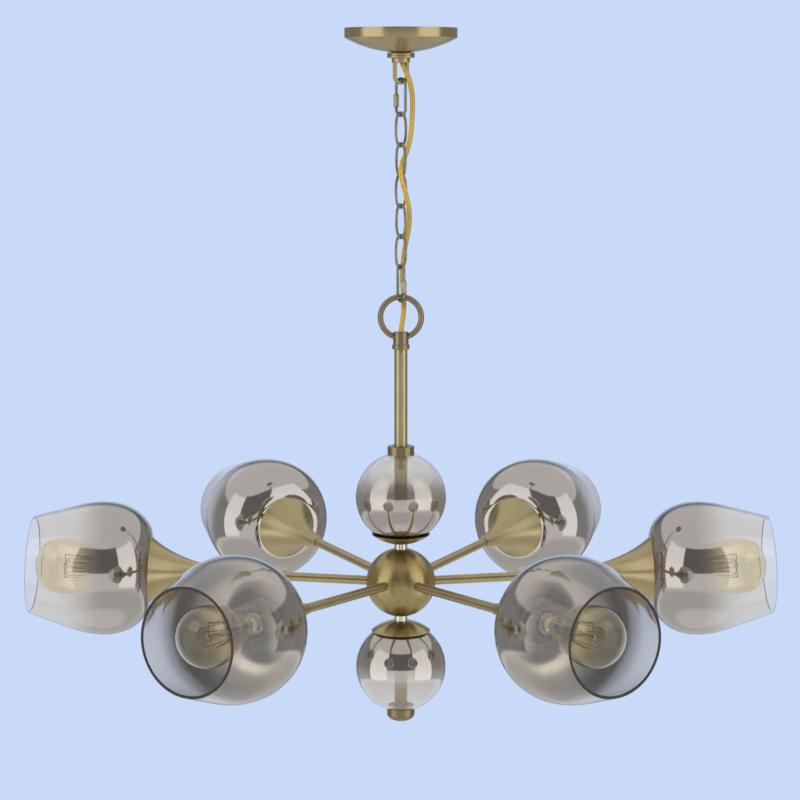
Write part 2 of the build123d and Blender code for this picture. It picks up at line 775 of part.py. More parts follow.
# Insulated leads from the rod's wire holes along the arms to the sockets
with BuildPart() as lead_wires:
    for index in range(arm_count):
        with BuildSketch(arm_section(index, rod_bore + wire_hole_gap)):
            Circle(wire_radius)
        extrude(amount=arm_end - rod_bore - wire_hole_gap)
lead_wires.part.label = "lead_wires"
export_step(lead_wires.part, "parts/lead_wires.step")
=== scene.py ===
import math

import bmesh
import bpy
import numpy as np
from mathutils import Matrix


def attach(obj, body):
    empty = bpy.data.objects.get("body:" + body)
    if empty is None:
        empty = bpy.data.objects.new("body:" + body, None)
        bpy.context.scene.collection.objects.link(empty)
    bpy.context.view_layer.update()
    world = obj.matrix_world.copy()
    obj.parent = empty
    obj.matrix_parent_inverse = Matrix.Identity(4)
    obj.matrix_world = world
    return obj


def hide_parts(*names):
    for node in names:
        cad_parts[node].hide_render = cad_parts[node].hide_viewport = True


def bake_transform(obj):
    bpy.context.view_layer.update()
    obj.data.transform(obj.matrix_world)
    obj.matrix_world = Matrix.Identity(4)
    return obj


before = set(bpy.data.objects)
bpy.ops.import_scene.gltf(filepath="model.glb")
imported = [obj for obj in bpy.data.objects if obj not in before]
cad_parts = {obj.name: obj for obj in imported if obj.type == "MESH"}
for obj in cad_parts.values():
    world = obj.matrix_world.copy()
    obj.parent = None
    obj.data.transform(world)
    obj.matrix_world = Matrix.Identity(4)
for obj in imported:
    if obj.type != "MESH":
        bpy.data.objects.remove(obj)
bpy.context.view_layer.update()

# Six-arm chandelier on a chain, in metres. The ceiling is Z = 0 and the lamp hangs on the Z axis.
mm = 0.001
weld_distance = 1e-7  # points closer than this are merged
hard_edge = 38.0  # degrees

# Canopy, screw collar and loop
canopy_radius = 63.5 * mm
canopy_rim_height = 11.0 * mm
canopy_dome_height = 16.4 * mm
canopy_wall = 1.2 * mm
canopy_hole = 11.5 * mm
canopy_rim_ease = 0.9 * mm
collar_radius = 15.6 * mm
collar_bore = 11.0 * mm
collar_height = 6.1 * mm
collar_edge = 0.9 * mm
collar_foot_edge = 1.6 * mm
collar_groove = 0.5 * mm
loop_shank_radius = 10.9 * mm
loop_shank_length = 15.5 * mm
loop_shank_edge = 0.8 * mm
loop_body_radius = 10.3 * mm
loop_body_height = 5.0 * mm
loop_bore = 5.05 * mm
loop_exit_bore = 4.4 * mm
nipple_foot = -30.0 * mm
loop_thread_pitch = 1.0 * mm
loop_thread_depth = 0.45 * mm
bail_wire = 4.7 * mm
bail_width = 14.5 * mm
bail_drop = 19.6 * mm
bail_turn = 20.0

# Chain
link_wire = 3.0 * mm
link_width = 15.0 * mm
link_inner_length = 34.7 * mm
link_count = 5
link_turns = (42.0, -48.0)
link_roundness = 2.35
link_seam_depth = 0.12
link_seam_width = 0.5 * mm
wire_segments = 24
quick_wire = 3.3 * mm
quick_width = 15.0 * mm
quick_inner_length = 38.0 * mm
quick_turns = {"top": -47.0, "bottom": -62.0}
quick_sides = {"top": -1, "bottom": 1}
quick_thread_pitch = 0.8 * mm
quick_thread_depth = 0.07
quick_thread_length = 4.5 * mm
sleeve_flats = 6.4 * mm
sleeve_length = 14.5 * mm
sleeve_above_bend = 2.0 * mm
sleeve_gap_start = 1.8 * mm
sleeve_gap_length = 5.0 * mm
sleeve_bore = 1.75 * mm
chain_gap = 0.3 * mm

# Ring, coupling and stem
ring_radius = 23.25 * mm
ring_wire = 6.5 * mm
ring_end_angle = 18.0
coupling_radius = 8.8 * mm
coupling_length = 19.5 * mm
coupling_in_ring = 3.2 * mm
coupling_bore = 3.2 * mm
coupling_cord_depth = 8.0 * mm
flange_radius = 9.9 * mm
flange_height = 5.0 * mm
stem_radius = 7.5 * mm
stem_bore = 6.3 * mm
stem_exposed = 112.1 * mm
rod_hole = 5.05 * mm

# Balls, cups and hub
ball_radius = 52.0 * mm
ball_wall = 2.5 * mm
ball_hole = 7.9 * mm
ball_seat_gap = 0.1 * mm
ball_clearing = 0.9
ball_collar_radius = 15.4 * mm
ball_collar_rise = 7.4 * mm
cup_wall = 2.0 * mm
cup_rim_radius = 31.0 * mm
cup_rim_ease = 0.5 * mm
gasket_thickness = 1.0 * mm
gasket_depth = 3.0 * mm
gasket_proud = 1.2 * mm
gasket_gap = 0.05 * mm
gasket_lip_ease = 0.4 * mm
neck_radius = 7.5 * mm
neck_length = 5.0 * mm
hub_radius = 40.0 * mm
finial_radius = 16.0 * mm
finial_drop = 13.0 * mm
finial_dome_height = 8.0 * mm
finial_thread_cover = 5.3 * mm

# Arms, trumpets, sockets, shades and bulbs, along each arm from the hub's centre
arm_count = 6
arm_tilt = 2.8
arm_radius = 5.25 * mm
arm_bore = 3.9 * mm
arm_start = 31.0 * mm
arm_end = 274.6 * mm
arm_hole = 5.3 * mm
shade_seat = 289.6 * mm
trumpet_radius = 38.5 * mm
trumpet_flare = 46.0 * mm
trumpet_length = 84.98 * mm
trumpet_wall = 1.5 * mm
trumpet_plate = 3.0 * mm
horn_rim_ease = 0.5 * mm
socket_back_radius = 16.0 * mm
socket_back_length = 20.0 * mm
socket_skirt_radius = 19.0 * mm
socket_skirt_length = 20.0 * mm
socket_bore = 13.6 * mm
socket_depth = 27.6 * mm
socket_thread_pitch = 2.2 * mm
socket_thread_depth = 0.5 * mm
shade_hole = 21.0 * mm
shade_base_radius = 37.0 * mm
shade_bulge_at = 52.0 * mm
shade_radius = 76.8 * mm
shade_side_radius = 115.0 * mm
shade_taper = 16.7
shade_length = 137.2 * mm
shade_wall = 3.0 * mm
shade_rim_ease = 1.0 * mm
shade_ring_radius = 27.5 * mm
shade_ring_bore = 19.2 * mm
shade_ring_height = 4.0 * mm
shade_ring_edge = 1.2 * mm
bulb_length = 140.0 * mm
bulb_radius = 32.0 * mm
bulb_dome = 30.0 * mm
bulb_shoulder = 61.0 * mm
bulb_shoulder_radius = 27.0 * mm
bulb_shoulder_slope = 0.30
bulb_neck = 113.0 * mm
bulb_neck_radius = 13.3 * mm
bulb_wall = 1.0 * mm
bulb_cap_radius = 13.0 * mm
bulb_contact_radius = 4.5 * mm
bulb_contact_height = 6.0 * mm
bulb_thread_pitch = 3.6 * mm
bulb_thread_depth = 0.9 * mm
bulb_base = shade_seat + socket_skirt_length - socket_depth + 0.3 * mm
bulb_tip = bulb_base + bulb_length
stem_rod_radius = 1.5 * mm
button_radius = 2.6 * mm
hook_count = 5
hook_radius = 0.5 * mm
cage_top_radius = 14.0 * mm
cage_foot_radius = 9.0 * mm
cage_wire_radius = 0.35 * mm
cage_turn = 0.94  # share of a whole turn
lead_angles = (0.15, 2.9)
lead_start = 4.0 * mm
filament_segments = 8

# Levels from the ceiling down, as in the part
rim_level = -canopy_rim_height
dome_level = rim_level - canopy_dome_height
collar_level = dome_level - collar_height
loop_level = collar_level - loop_body_height
bail_level = loop_level - bail_drop
quick_top_level = bail_level + chain_gap
link_top_level = quick_top_level - quick_inner_length + chain_gap
link_pitch = link_inner_length - chain_gap
quick_bottom_level = link_top_level - link_count * link_pitch
ring_inner_level = quick_bottom_level - quick_inner_length + chain_gap
ring_inner_radius = ring_radius - ring_wire / 2
ring_level = ring_inner_level - ring_inner_radius
coupling_top = ring_level - ring_inner_radius + coupling_in_ring
coupling_bottom = coupling_top - coupling_length
ball_collar_top = coupling_bottom - stem_exposed
upper_ball_level = ball_collar_top - ball_collar_rise - ball_radius
cup_inner = ball_radius + gasket_thickness
cup_outer = cup_inner + cup_wall
ball_to_hub = cup_outer + neck_length + hub_radius
hub_level = upper_ball_level - ball_to_hub
lower_ball_level = hub_level - ball_to_hub
finial_level = lower_ball_level - ball_radius - finial_drop

up = np.array([0.0, 0.0, 1.0])
hub_centre = np.array([0.0, 0.0, hub_level])

# Supply cord: its strands, the levels where its lengths meet, and the route's points from the part
cord_lobe_radius = 1.2 * mm
cord_lobe_places = (-1.65 * mm, 0.5 * mm)
earth_lobe_radius = 0.6 * mm
earth_lobe_place = 2.2 * mm
cord_segments = 56
cord_rows = 40
cord_first_bend = -44.1 * mm
cord_last_bend = -327.8 * mm
cord_cuts = mm * np.array([-25.0, -76.8, -112.8, -147.2, -181.6, -216.0, -250.4, -286.5, -348.0])
cord_route = mm * np.array(
    [
        (0.0, 0.0, -25.0),
        (0.0, 0.0, -36.0),
        (4.0, -2.9, -45.0),
        (9.0, -4.0, -55.5),
        (12.6, -1.4, -70.0),
        (13.4, 1.0, -88.0),
        (12.2, 0.6, -108.0),
        (10.4, 1.6, -125.0),
        (6.2, 1.8, -139.0),
        (1.2, -1.9, -150.5),
        (-0.5, -7.3, -161.5),
        (2.6, -8.8, -175.0),
        (6.8, -5.6, -189.5),
        (9.8, -1.2, -205.0),
        (9.4, 5.0, -221.0),
        (6.8, 10.2, -235.5),
        (3.4, 10.6, -252.0),
        (2.0, 9.6, -270.0),
        (2.2, 9.4, -288.0),
        (3.4, 8.2, -304.0),
        (3.4, 4.0, -319.0),
        (1.4, 0.8, -332.0),
        (0.0, 0.0, -341.0),
        (0.0, 0.0, -348.0),
    ]
)


def linear(colour):
    """sRGB hex to the linear values that shaders take."""
    share = np.array([int(colour[place : place + 2], 16) for place in (1, 3, 5)]) / 255
    value = np.where(share <= 0.04045, share / 12.92, ((share + 0.055) / 1.055) ** 2.4)
    return (*value.tolist(), 1.0)


def plug(node, inputs):
    """Fills a node's sockets: another node's output is linked, and anything else is a constant."""
    for name, value in inputs.items():
        if isinstance(value, bpy.types.NodeSocket):
            node.id_data.links.new(value, node.inputs[name])
        else:
            node.inputs[name].default_value = value


def add_node(tree, kind, inputs=None, out=None, **settings):
    """Adds one node with its settings, constants and links. Returns the output that is asked for, or else the
    first one in use. A Mix of colours has its factor on socket 0 and its colours on sockets 6 and 7."""
    made = tree.nodes.new("ShaderNode" + kind)
    for name, value in settings.items():
        setattr(made, name, value)
    plug(made, inputs or {})
    if out is None:
        return next(socket for socket in made.outputs if socket.enabled)
    return made.outputs[out]


def new_finish(name):
    """A node material: returns it with its tree and its Principled shader."""
    material = bpy.data.materials.new(name)
    material.use_nodes = True
    return material, material.node_tree, material.node_tree.nodes["Principled BSDF"]


def unit(vectors):
    """Vectors scaled to length 1."""
    return vectors / np.linalg.norm(vectors, axis=-1, keepdims=True)


def turns(count):
    """Angles of one whole turn in equal steps."""
    return 2 * np.pi * np.arange(count) / count


def distances(line):
    """Distance along a line to each of its points."""
    return np.concatenate([[0], np.cumsum(np.linalg.norm(np.diff(line, axis=0), axis=1))])


def wall(radius, heights):
    """Straight run of an outline: one radius at several heights."""
    return np.column_stack([np.full(len(heights), radius), heights])


def placed(outline, level, side):
    """An outline moved to a level, and turned over where side is -1."""
    return np.column_stack([outline[:, 0], level + side * outline[:, 1]])


def rounded(corners, ease, closed=True, steps=5, others=None):
    """Outline whose corners are eased: between the points `ease` before and after a corner it follows the
    curve (1-t)^2 before + 2t(1-t) corner + t^2 after. others gives single corners an ease of their own, and
    an ease of 0 keeps the corner."""
    corners = np.asarray(corners, float)
    ease = np.full(len(corners), float(ease))
    for corner, own_ease in (others or {}).items():
        ease[corner] = own_ease
    if not closed:
        ease[[0, -1]] = 0
    back = np.roll(corners, 1, axis=0) - corners
    ahead = np.roll(corners, -1, axis=0) - corners
    back_length = np.linalg.norm(back, axis=1, keepdims=True)
    ahead_length = np.linalg.norm(ahead, axis=1, keepdims=True)
    reach = np.minimum(ease[:, None], 0.45 * np.minimum(back_length, ahead_length))
    before = (corners + back / back_length * reach)[:, None]
    after = (corners + ahead / ahead_length * reach)[:, None]
    t = np.linspace(0, 1, steps)[None, :, None]
    eased = (1 - t) ** 2 * before + 2 * t * (1 - t) * corners[:, None] + t**2 * after
    eased = eased.reshape(-1, 2)
    gap = np.linalg.norm(eased - np.roll(eased, 1, axis=0), axis=1)
    keep = gap > 1e-8
    if not closed:
        keep[0] = True
    return eased[keep]


def grid(points, closed, around, along):
    """Quads over a grid of points [along, around], which always closes around, and along where asked.
    around is each column's share of the turn and along is each row's distance."""
    rows, columns = points.shape[:2]
    starts = np.arange(rows if closed else rows - 1)
    row, column = np.meshgrid(starts, np.arange(columns), indexing="ij")
    corners = [(row, column), (row, column + 1), (row + 1, column + 1), (row + 1, column)]
    faces = np.stack([r % rows * columns + c % columns for r, c in corners], axis=-1)
    reach = np.append(along, along[-1] + np.linalg.norm(points[0, 0] - points[-1, 0]))
    turn = np.append(around, 1.0)
    uv = np.stack([np.stack([turn[c], reach[r]], axis=-1) for r, c in corners], axis=2)
    angle = 2 * np.pi * around[None, :] + 0 * along[:, None]
    lay = np.stack([np.cos(angle), np.sin(angle), along[:, None] + 0 * angle], axis=-1)
    return points.reshape(-1, 3), faces.reshape(-1, 4), uv.reshape(-1, 2), lay.reshape(-1, 3)


def turned(outline, centre, axis, segments=96, closed=True, ripple=None, share=None):
    """Surface of revolution. For each (radius, height) of the outline and each angle a, the point is
    centre + height * axis + radius * (cos a * side + sin a * other). ripple(angle, outline) adds to the
    radius, and share gives each row's second UV value instead of its distance along the outline."""
    outline = np.asarray(outline, float)
    ahead = np.roll(outline, -1, axis=0)
    if np.sum(outline[:, 0] * ahead[:, 1] - ahead[:, 0] * outline[:, 1]) < 0:
        outline = outline[::-1]
    side = np.array([1.0, 0, 0]) if abs(axis[2]) > 0.9 else unit(np.cross(up, axis))
    other = np.cross(axis, side)
    around = np.arange(segments) / segments
    angle = 2 * np.pi * around
    spoke = np.cos(angle)[:, None] * side + np.sin(angle)[:, None] * other
    radius = outline[:, :1] + 0 * angle[None, :]
    if ripple is not None:
        radius = radius + ripple(angle[None, :], outline[:, None, :])
    points = centre + outline[:, None, 1:] * axis + radius[:, :, None] * spoke[None]
    along = distances(outline) if share is None else share(outline)
    return grid(points, closed, around, along)


def carried(line, normal, radius, segments=20, closed=False):
    """Profile carried along a line. With t the line's direction, a the normal made square to t and
    b = t x a, the point is line + radius * (cos f * a + sin f * b); radius may change along and around."""
    around = np.arange(segments) / segments
    angle = 2 * np.pi * around
    if closed:
        direction = unit(np.roll(line, -1, axis=0) - np.roll(line, 1, axis=0))
    else:
        direction = unit(np.gradient(line, axis=0))
    across = unit(normal - direction * np.sum(direction * normal, axis=1, keepdims=True))
    third = np.cross(direction, across)
    radius = np.broadcast_to(radius, (len(line), segments))
    if not closed:
        line, across, third = (np.concatenate([a[:1], a, a[-1:]]) for a in (line, across, third))
        radius = np.concatenate([0 * radius[:1], radius, 0 * radius[-1:]])
    spoke = np.cos(angle)[None, :, None] * across[:, None] + np.sin(angle)[None, :, None] * third[:, None]
    points = line[:, None] + radius[:, :, None] * spoke
    return grid(points, closed, around, distances(line))


def mesh_piece(name, body, surfaces, finish, slot, *stands_for):
    """One mesh object made of surfaces in place, which rides on a body where one is named: poles are merged,
    faces are smooth and hard edges are marked."""
    points, faces, uv, lay = (np.concatenate(parts) for parts in zip(*surfaces))
    counts = [len(surface[0]) for surface in surfaces]
    shift = np.repeat(np.cumsum([0] + counts[:-1]), [len(surface[1]) for surface in surfaces])
    mesh = bpy.data.meshes.new(name)
    mesh.from_pydata(points.tolist(), [], (faces + shift[:, None]).tolist())
    mesh.uv_layers.new(name="UVMap").data.foreach_set("uv", uv.ravel())
    mesh.attributes.new("lay", "FLOAT_VECTOR", "POINT").data.foreach_set("vector", lay.ravel())
    edit = bmesh.new()
    edit.from_mesh(mesh)
    bmesh.ops.remove_doubles(edit, verts=edit.verts, dist=weld_distance)
    edit.to_mesh(mesh)
    edit.free()
    mesh.shade_smooth()
    mesh.set_sharp_from_angle(angle=math.radians(hard_edge))
    mesh.materials.append(finish)
    made = bpy.data.objects.new(name, mesh)
    bpy.context.scene.collection.objects.link(made)
    if stands_for:
        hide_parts(*stands_for)
    if body:
        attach(made, body)
    return made


def hanging(points, turn):
    """Points (x, y) of an upright plane through the Z axis, turned about it, with their plane's normal."""
    angle = math.radians(turn)
    sideways = np.array([math.cos(angle), math.sin(angle), 0])
    return points[:, :1] * sideways + points[:, 1:] * up, np.array([math.sin(angle), -math.cos(angle), 0])


def arm_axis(index):
    """Unit vector along an arm: the first points along +X and the rest follow anticlockwise."""
    around = 2 * math.pi * index / arm_count
    tilt = math.radians(arm_tilt)
    return np.array([math.cos(tilt) * math.cos(around), math.cos(tilt) * math.sin(around), math.sin(tilt)])


def arc(centre, radius, first, last, count=24, squash=1.0):
    """Points of an arc from one angle to another, in degrees; squash scales its second coordinate."""
    angle = np.radians(np.linspace(first, last, count))
    return np.column_stack([centre[0] + radius * np.cos(angle), centre[1] + squash * radius * np.sin(angle)])


def oval(width, upper, lower):
    """Closed oval in a plane, from the middle of its right leg: for each angle a the point is
    (half width * c, middle - half height * s), where c and s are cos a and sin a to the power
    2 / roundness."""
    turn = turns(144)
    across = np.sign(np.cos(turn)) * np.abs(np.cos(turn)) ** (2 / link_roundness)
    along = np.sign(np.sin(turn)) * np.abs(np.sin(turn)) ** (2 / link_roundness)
    half_height = (upper - lower + width) / 2
    return np.column_stack([width / 2 * across, (upper + lower) / 2 - half_height * along])


def height_on(sphere, radius):
    """Height of a sphere's surface above its centre at a distance from the axis."""
    return math.sqrt(sphere**2 - radius**2)


def ball_arc(sphere, level, first, last, count=40):
    """Outline of a sphere between two heights from its centre: radius = sqrt(sphere^2 - height^2), with
    the points spaced evenly in angle."""
    angle = np.linspace(math.asin(first / sphere), math.asin(last / sphere), count)
    return np.column_stack([sphere * np.cos(angle), level + sphere * np.sin(angle)])


def tube_outline(bore, radius, low, high, rows=30):
    """Outline of a straight tube, with rows along its outside for the brush lines."""
    outer = wall(radius, np.linspace(low, high, rows))
    return rounded(np.concatenate([[(bore, low)], outer, [(bore, high)]]), 0.3 * mm, steps=3)


def groove(angle, height, pitch):
    """Depth of a screw's groove, from 0 on its crest to 1: (1 - cos(a - 2 pi h / pitch)) / 2."""
    return 0.5 - 0.5 * np.cos(angle - 2 * np.pi * height / pitch)


def helix(start, stop, pitch, depth, least=0.0):
    """Ripple for turned(): between two heights the radius drops by depth * groove, on the rows outside the
    radius `least`."""

    def ripple(angle, outline):
        height = outline[..., 1]
        inside = (height > start) & (height < stop) & (outline[..., 0] > least)
        return -depth * groove(angle, height, pitch) * inside

    return ripple


# Finishes, with the size of each one's pattern and the noise values between which most of a noise lies
backdrop = linear("#C9DAF8")
brush_line = 1.2 * mm  # real brush lines are about 0.2 mm apart, drawn six times as coarse so that they show
tarnish_patch = 28 * mm
chain_patch = 6 * mm
pebble = 0.8 * mm
silver_patch = 45 * mm
copper_twist = 5 * mm
noise_range = {"From Min": 0.3, "From Max": 0.7}
brushed = {"Anisotropic": 0.85, "Anisotropic Rotation": 0.25}
blown = {"IOR": 1.5, "Transmission Weight": 1.0}


def mottled(shader, noise, tone, deep, pale, roughness, spread, strength, depth):
    """Lets noise shift a finish: tone, from 0 to 1, leads from the deep colour to the pale one, the roughness
    goes `spread` either way, and a bump follows the noise."""
    tree = shader.id_data
    colour = add_node(tree, "Mix", {0: tone, 6: linear(deep), 7: linear(pale)}, data_type="RGBA")
    limits = {"To Min": roughness - spread, "To Max": roughness + spread}
    gloss = add_node(tree, "MapRange", {"Value": noise, **noise_range, **limits})
    relief = add_node(tree, "Bump", {"Strength": strength, "Distance": depth, "Height": noise})
    plug(shader, {"Base Color": colour, "Roughness": gloss, "Normal": relief})


def brushed_brass(name, deep, pale, roughness):
    """Brass brushed while it turned: noise on (2 cos a, 2 sin a, distance / line width) changes quickly along
    the piece and slowly around it. It shifts colour, roughness and a shallow bump, over wide soft tarnish."""
    material, tree, shader = new_finish(name)
    lay = add_node(tree, "Attribute", out="Vector", attribute_name="lay")
    drawn = add_node(tree, "VectorMath", {0: lay, 1: (2.0, 2.0, 1 / brush_line)}, operation="MULTIPLY")
    lines = add_node(tree, "TexNoise", {"Vector": drawn, "Scale": 1.0, "Detail": 2.0})
    place = add_node(tree, "TexCoord", out="Object")
    tarnish = add_node(tree, "TexNoise", {"Vector": place, "Scale": 1 / tarnish_patch, "Detail": 3.0})
    both = add_node(tree, "Math", {0: lines, 1: tarnish}, operation="ADD")
    tone = add_node(tree, "MapRange", {"Value": both, "From Min": 0.4, "From Max": 1.6})
    mottled(shader, lines, tone, deep, pale, roughness, spread=0.03, strength=0.1, depth=0.03 * mm)
    tangent = add_node(tree, "Tangent", direction_type="UV_MAP", uv_map="UVMap")
    plug(shader, {"Tangent": tangent, "Metallic": 1.0, **brushed})
    return material


# Antique brass, spun or turned and then brushed: soft streaks of light square to the brush lines
antique_brass = brushed_brass("brushed_antique_brass", "#A3936C", "#BAAA83", 0.30)

# The same brass, greyer and darker, on the small turned parts; on the finial the darker colour also paints
# the dark reflection of the floor below it
darker_brass = brushed_brass("darker_antique_brass", "#80735A", "#9B8D70", 0.32)

# Polished nickel on the short necks: near mirror, with a faint haze
polished_nickel = brushed_brass("polished_nickel", "#B9B4A8", "#D8D4CB", 0.16)


def speckled(name, deep, pale, patch, metallic, roughness, spread, depth, spun=False):
    """Plain finish with noise on Object coordinates, one patch wide, that shifts colour, roughness and bump.
    A spun one has its brush lines round the Z axis."""
    material, tree, shader = new_finish(name)
    place = add_node(tree, "TexCoord", out="Object")
    noise = add_node(tree, "TexNoise", {"Vector": place, "Scale": 1 / patch, "Detail": 4.0})
    tone = add_node(tree, "MapRange", {"Value": noise, **noise_range})
    mottled(shader, noise, tone, deep, pale, roughness, spread, strength=0.3, depth=depth)
    plug(shader, {"Metallic": metallic})
    if spun:
        tangent = add_node(tree, "Tangent", direction_type="RADIAL", axis="Z")
        plug(shader, {"Tangent": tangent, **brushed})
    return material


# Drawn brass wire, bent and browned: dull grey gold, darker in blotches
chain_wire = speckled("browned_brass_wire", "#766F60", "#A29A85", chain_patch, 1.0, 0.33, 0.07, 0.05 * mm)

# Zinc plated steel: cool grey with a faint cloudy sheen
zinc_steel = speckled("zinc_plated_steel", "#A3A4A2", "#C4C5C1", 3 * mm, 1.0, 0.36, 0.08, 0.02 * mm)

# Spun brass hub, brushed about its upright axis: the tangent runs round that axis
hub_brass = speckled("spun_brass_hub", "#998859", "#AF9E6E", 9 * mm, 1.0, 0.30, 0.03, 0.01 * mm, spun=True)

# Moulded black rubber: matt, with a soft bloom
black_rubber = speckled("moulded_black_rubber", "#0E0E0F", "#1C1C1D", 1.5 * mm, 0.0, 0.62, 0.1, 0.03 * mm)

# Moulded grey phenolic lamp socket: fine pebble, slightly glossy
grey_phenolic = speckled("moulded_grey_phenolic", "#7E7C7A", "#979593", pebble, 0.0, 0.45, 0.06, 0.03 * mm)

# Moulded PBT clamp ring: fine pebble, a paler grey than the socket
grey_pbt = speckled("moulded_grey_pbt", "#93918F", "#AAA8A6", pebble, 0.0, 0.5, 0.06, 0.03 * mm)

# White PVC insulation, extruded over the leads: smooth and slightly glossy
white_pvc = speckled("extruded_white_pvc", "#D6D5CF", "#E6E5E0", 2 * mm, 0.0, 0.4, 0.05, 0.01 * mm)

# Nickel plated bulb cap: rolled thin sheet, bright on the thread's crests
cap_nickel = speckled("rolled_nickel_plate", "#A8A59E", "#CFCCC4", 2 * mm, 1.0, 0.25, 0.06, 0.02 * mm)

# Black vitrite, a glass cast under the cap round the contact: dark and glossy
black_vitrite = speckled("black_vitrite", "#101012", "#1D1D20", 2 * mm, 0.0, 0.2, 0.05, 0.01 * mm)

# Tungsten filament and its molybdenum supports, drawn wire: warm in the amber glass
filament_wire = speckled("drawn_filament_wire", "#6E5A22", "#8F7833", 1 * mm, 1.0, 0.35, 0.06, 0.01 * mm)


def silvered_glass():
    """Smoked blown glass, silvered from the neck: the second UV value runs from 0 at the neck to 1 at the far
    edge and on to 2 at the neck inside, so |value - 1| is the distance from the far edge on both faces. The
    mirror's share, made a little uneven by noise, is a smooth step from that edge to the neck, long on the
    outer face and later and shorter on the inner one, and the rest of the light passes through. The silver is
    a crisp mirror from outside, darker through the smoked glass, and satin from inside. On the flat floor
    round the socket the inner silver is painted dark, a painted shade for the trumpet behind the glass that
    blocks the light. The cut rim has a painted dark line, a painted shade for the light bent away inside the
    thick edge. The clear glass is warm, so that the blue backdrop is neutral through two walls."""
    material, tree, shader = new_finish("half_silvered_smoked_glass")
    uv = add_node(tree, "UVMap", uv_map="UVMap")
    value = add_node(tree, "SeparateXYZ", {0: uv}, out=1)
    past_edge = add_node(tree, "Math", {0: value, 1: 1.0}, operation="SUBTRACT")
    from_edge = add_node(tree, "Math", {0: past_edge}, operation="ABSOLUTE")
    inside = add_node(tree, "Math", {0: value, 1: 1.0}, operation="GREATER_THAN")
    place = add_node(tree, "TexCoord", out="Object")
    waver = add_node(tree, "TexNoise", {"Vector": place, "Scale": 1 / silver_patch, "Detail": 2.0})
    reach = add_node(tree, "Math", {0: waver, 1: -0.06, 2: from_edge}, operation="MULTIPLY_ADD")
    start = add_node(tree, "Math", {0: inside, 1: 0.24, 2: 0.24}, operation="MULTIPLY_ADD")
    step = {"Value": reach, "From Min": start, "From Max": 0.64, "To Min": 0.01, "To Max": 0.78}
    silver = add_node(tree, "MapRange", step, interpolation_type="SMOOTHSTEP")
    satin = add_node(tree, "Math", {0: silver, 1: inside}, operation="MULTIPLY")
    gloss = add_node(tree, "MapRange", {"Value": satin, "To Min": 0.015, "To Max": 0.5})
    sides = {0: inside, 6: linear("#A9A4A1"), 7: linear("#F0EDEA")}
    metal = add_node(tree, "Mix", sides, data_type="RGBA")
    # Painted shade: the inner silver on the flat floor round the socket is painted dark for the trumpet
    # behind it, which blocks the light
    floor_shade_band = add_node(tree, "MapRange", {"Value": value, "From Min": 1.965, "From Max": 1.975})
    metal = add_node(tree, "Mix", {0: floor_shade_band, 6: metal, 7: linear("#4F4D4B")}, data_type="RGBA")
    glass = add_node(tree, "Mix", {0: silver, 6: linear("#FEF4E6"), 7: metal}, data_type="RGBA")
    # Painted shade: a dark line at the cut rim stands in for the light bent away inside the thick glass edge
    edge = add_node(tree, "MapRange", {"Value": from_edge, "From Min": 0.0045, "From Max": 0.002})
    rim = add_node(tree, "Mix", {0: edge, 6: glass, 7: linear("#3A3634")}, data_type="RGBA")
    plug(shader, {"Base Color": rim, "Metallic": silver, "Roughness": gloss, **blown})
    return material


# Smoked soda-lime glass, mouth blown and vacuum silvered near the neck: mirror that clears towards the rim
smoked_glass = silvered_glass()


def clear_glass(name, pale, deep):
    """Thin blown glass: the second UV value tints it deeper towards the neck."""
    material, tree, shader = new_finish(name)
    uv = add_node(tree, "UVMap", uv_map="UVMap")
    share = add_node(tree, "SeparateXYZ", {0: uv}, out=1)
    tone = add_node(tree, "MapRange", {"Value": share, "From Min": 0.0, "From Max": 0.6})
    colour = add_node(tree, "Mix", {0: tone, 6: linear(deep), 7: linear(pale)}, data_type="RGBA")
    plug(shader, {"Base Color": colour, "Roughness": 0.01, **blown})
    return material


# Amber soda-lime bulb glass, dipped: warm all through and deeper at the neck
amber_glass = clear_glass("amber_bulb_glass", "#FEF6DE", "#F7E9C2")

# Lead glass of the bulb's stem, drawn and pressed: clear with a faint grey
stem_glass = clear_glass("pressed_stem_glass", "#F3F1EC", "#E4E1DA")


def cord_jacket():
    """Gold PVC over two strands beside a grey earth strand: the first UV value tells which strand is seen,
    and fine noise drawn out along the cord gives the twist of the copper that shows through."""
    material, tree, shader = new_finish("gold_translucent_pvc")
    uv = add_node(tree, "UVMap", uv_map="UVMap")
    turn = add_node(tree, "SeparateXYZ", {0: uv}, out=0)
    apart = add_node(tree, "Math", {0: turn, 1: 0.5}, operation="SUBTRACT")
    side = add_node(tree, "Math", {0: apart}, operation="ABSOLUTE")
    earth = add_node(tree, "MapRange", {"Value": side, "From Min": 0.452, "From Max": 0.462})
    lay = add_node(tree, "Attribute", out="Vector", attribute_name="lay")
    drawn = add_node(tree, "VectorMath", {0: lay, 1: (6.0, 6.0, 1 / copper_twist)}, operation="MULTIPLY")
    twist = add_node(tree, "TexNoise", {"Vector": drawn, "Scale": 1.0, "Detail": 3.0})
    tone = add_node(tree, "MapRange", {"Value": twist, **noise_range})
    gold = add_node(tree, "Mix", {0: tone, 6: linear("#B8921C"), 7: linear("#DDBB3C")}, data_type="RGBA")
    colour = add_node(tree, "Mix", {0: earth, 6: gold, 7: linear("#8A8779")}, data_type="RGBA")
    gloss = add_node(tree, "MapRange", {"Value": twist, **noise_range, "To Min": 0.28, "To Max": 0.4})
    plug(shader, {"Base Color": colour, "Roughness": gloss, "Coat Weight": 0.4, "Coat Roughness": 0.15})
    return material


# Gold tinted PVC lamp cord, extruded flat over twisted copper: glossy, with the strands' gold showing through
gold_pvc = cord_jacket()

# CAD nodes that keep their shape
for node in ("crossbar", "nipple", "lock_nut", "ground_screw", "centre_rod", "arm_nuts"):
    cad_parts[node].material_slots[0].material = zinc_steel
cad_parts["lead_wires"].material_slots[0].material = white_pvc
for node in ("hub_cap", "hub_body"):
    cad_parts[node].material_slots[0].material = hub_brass

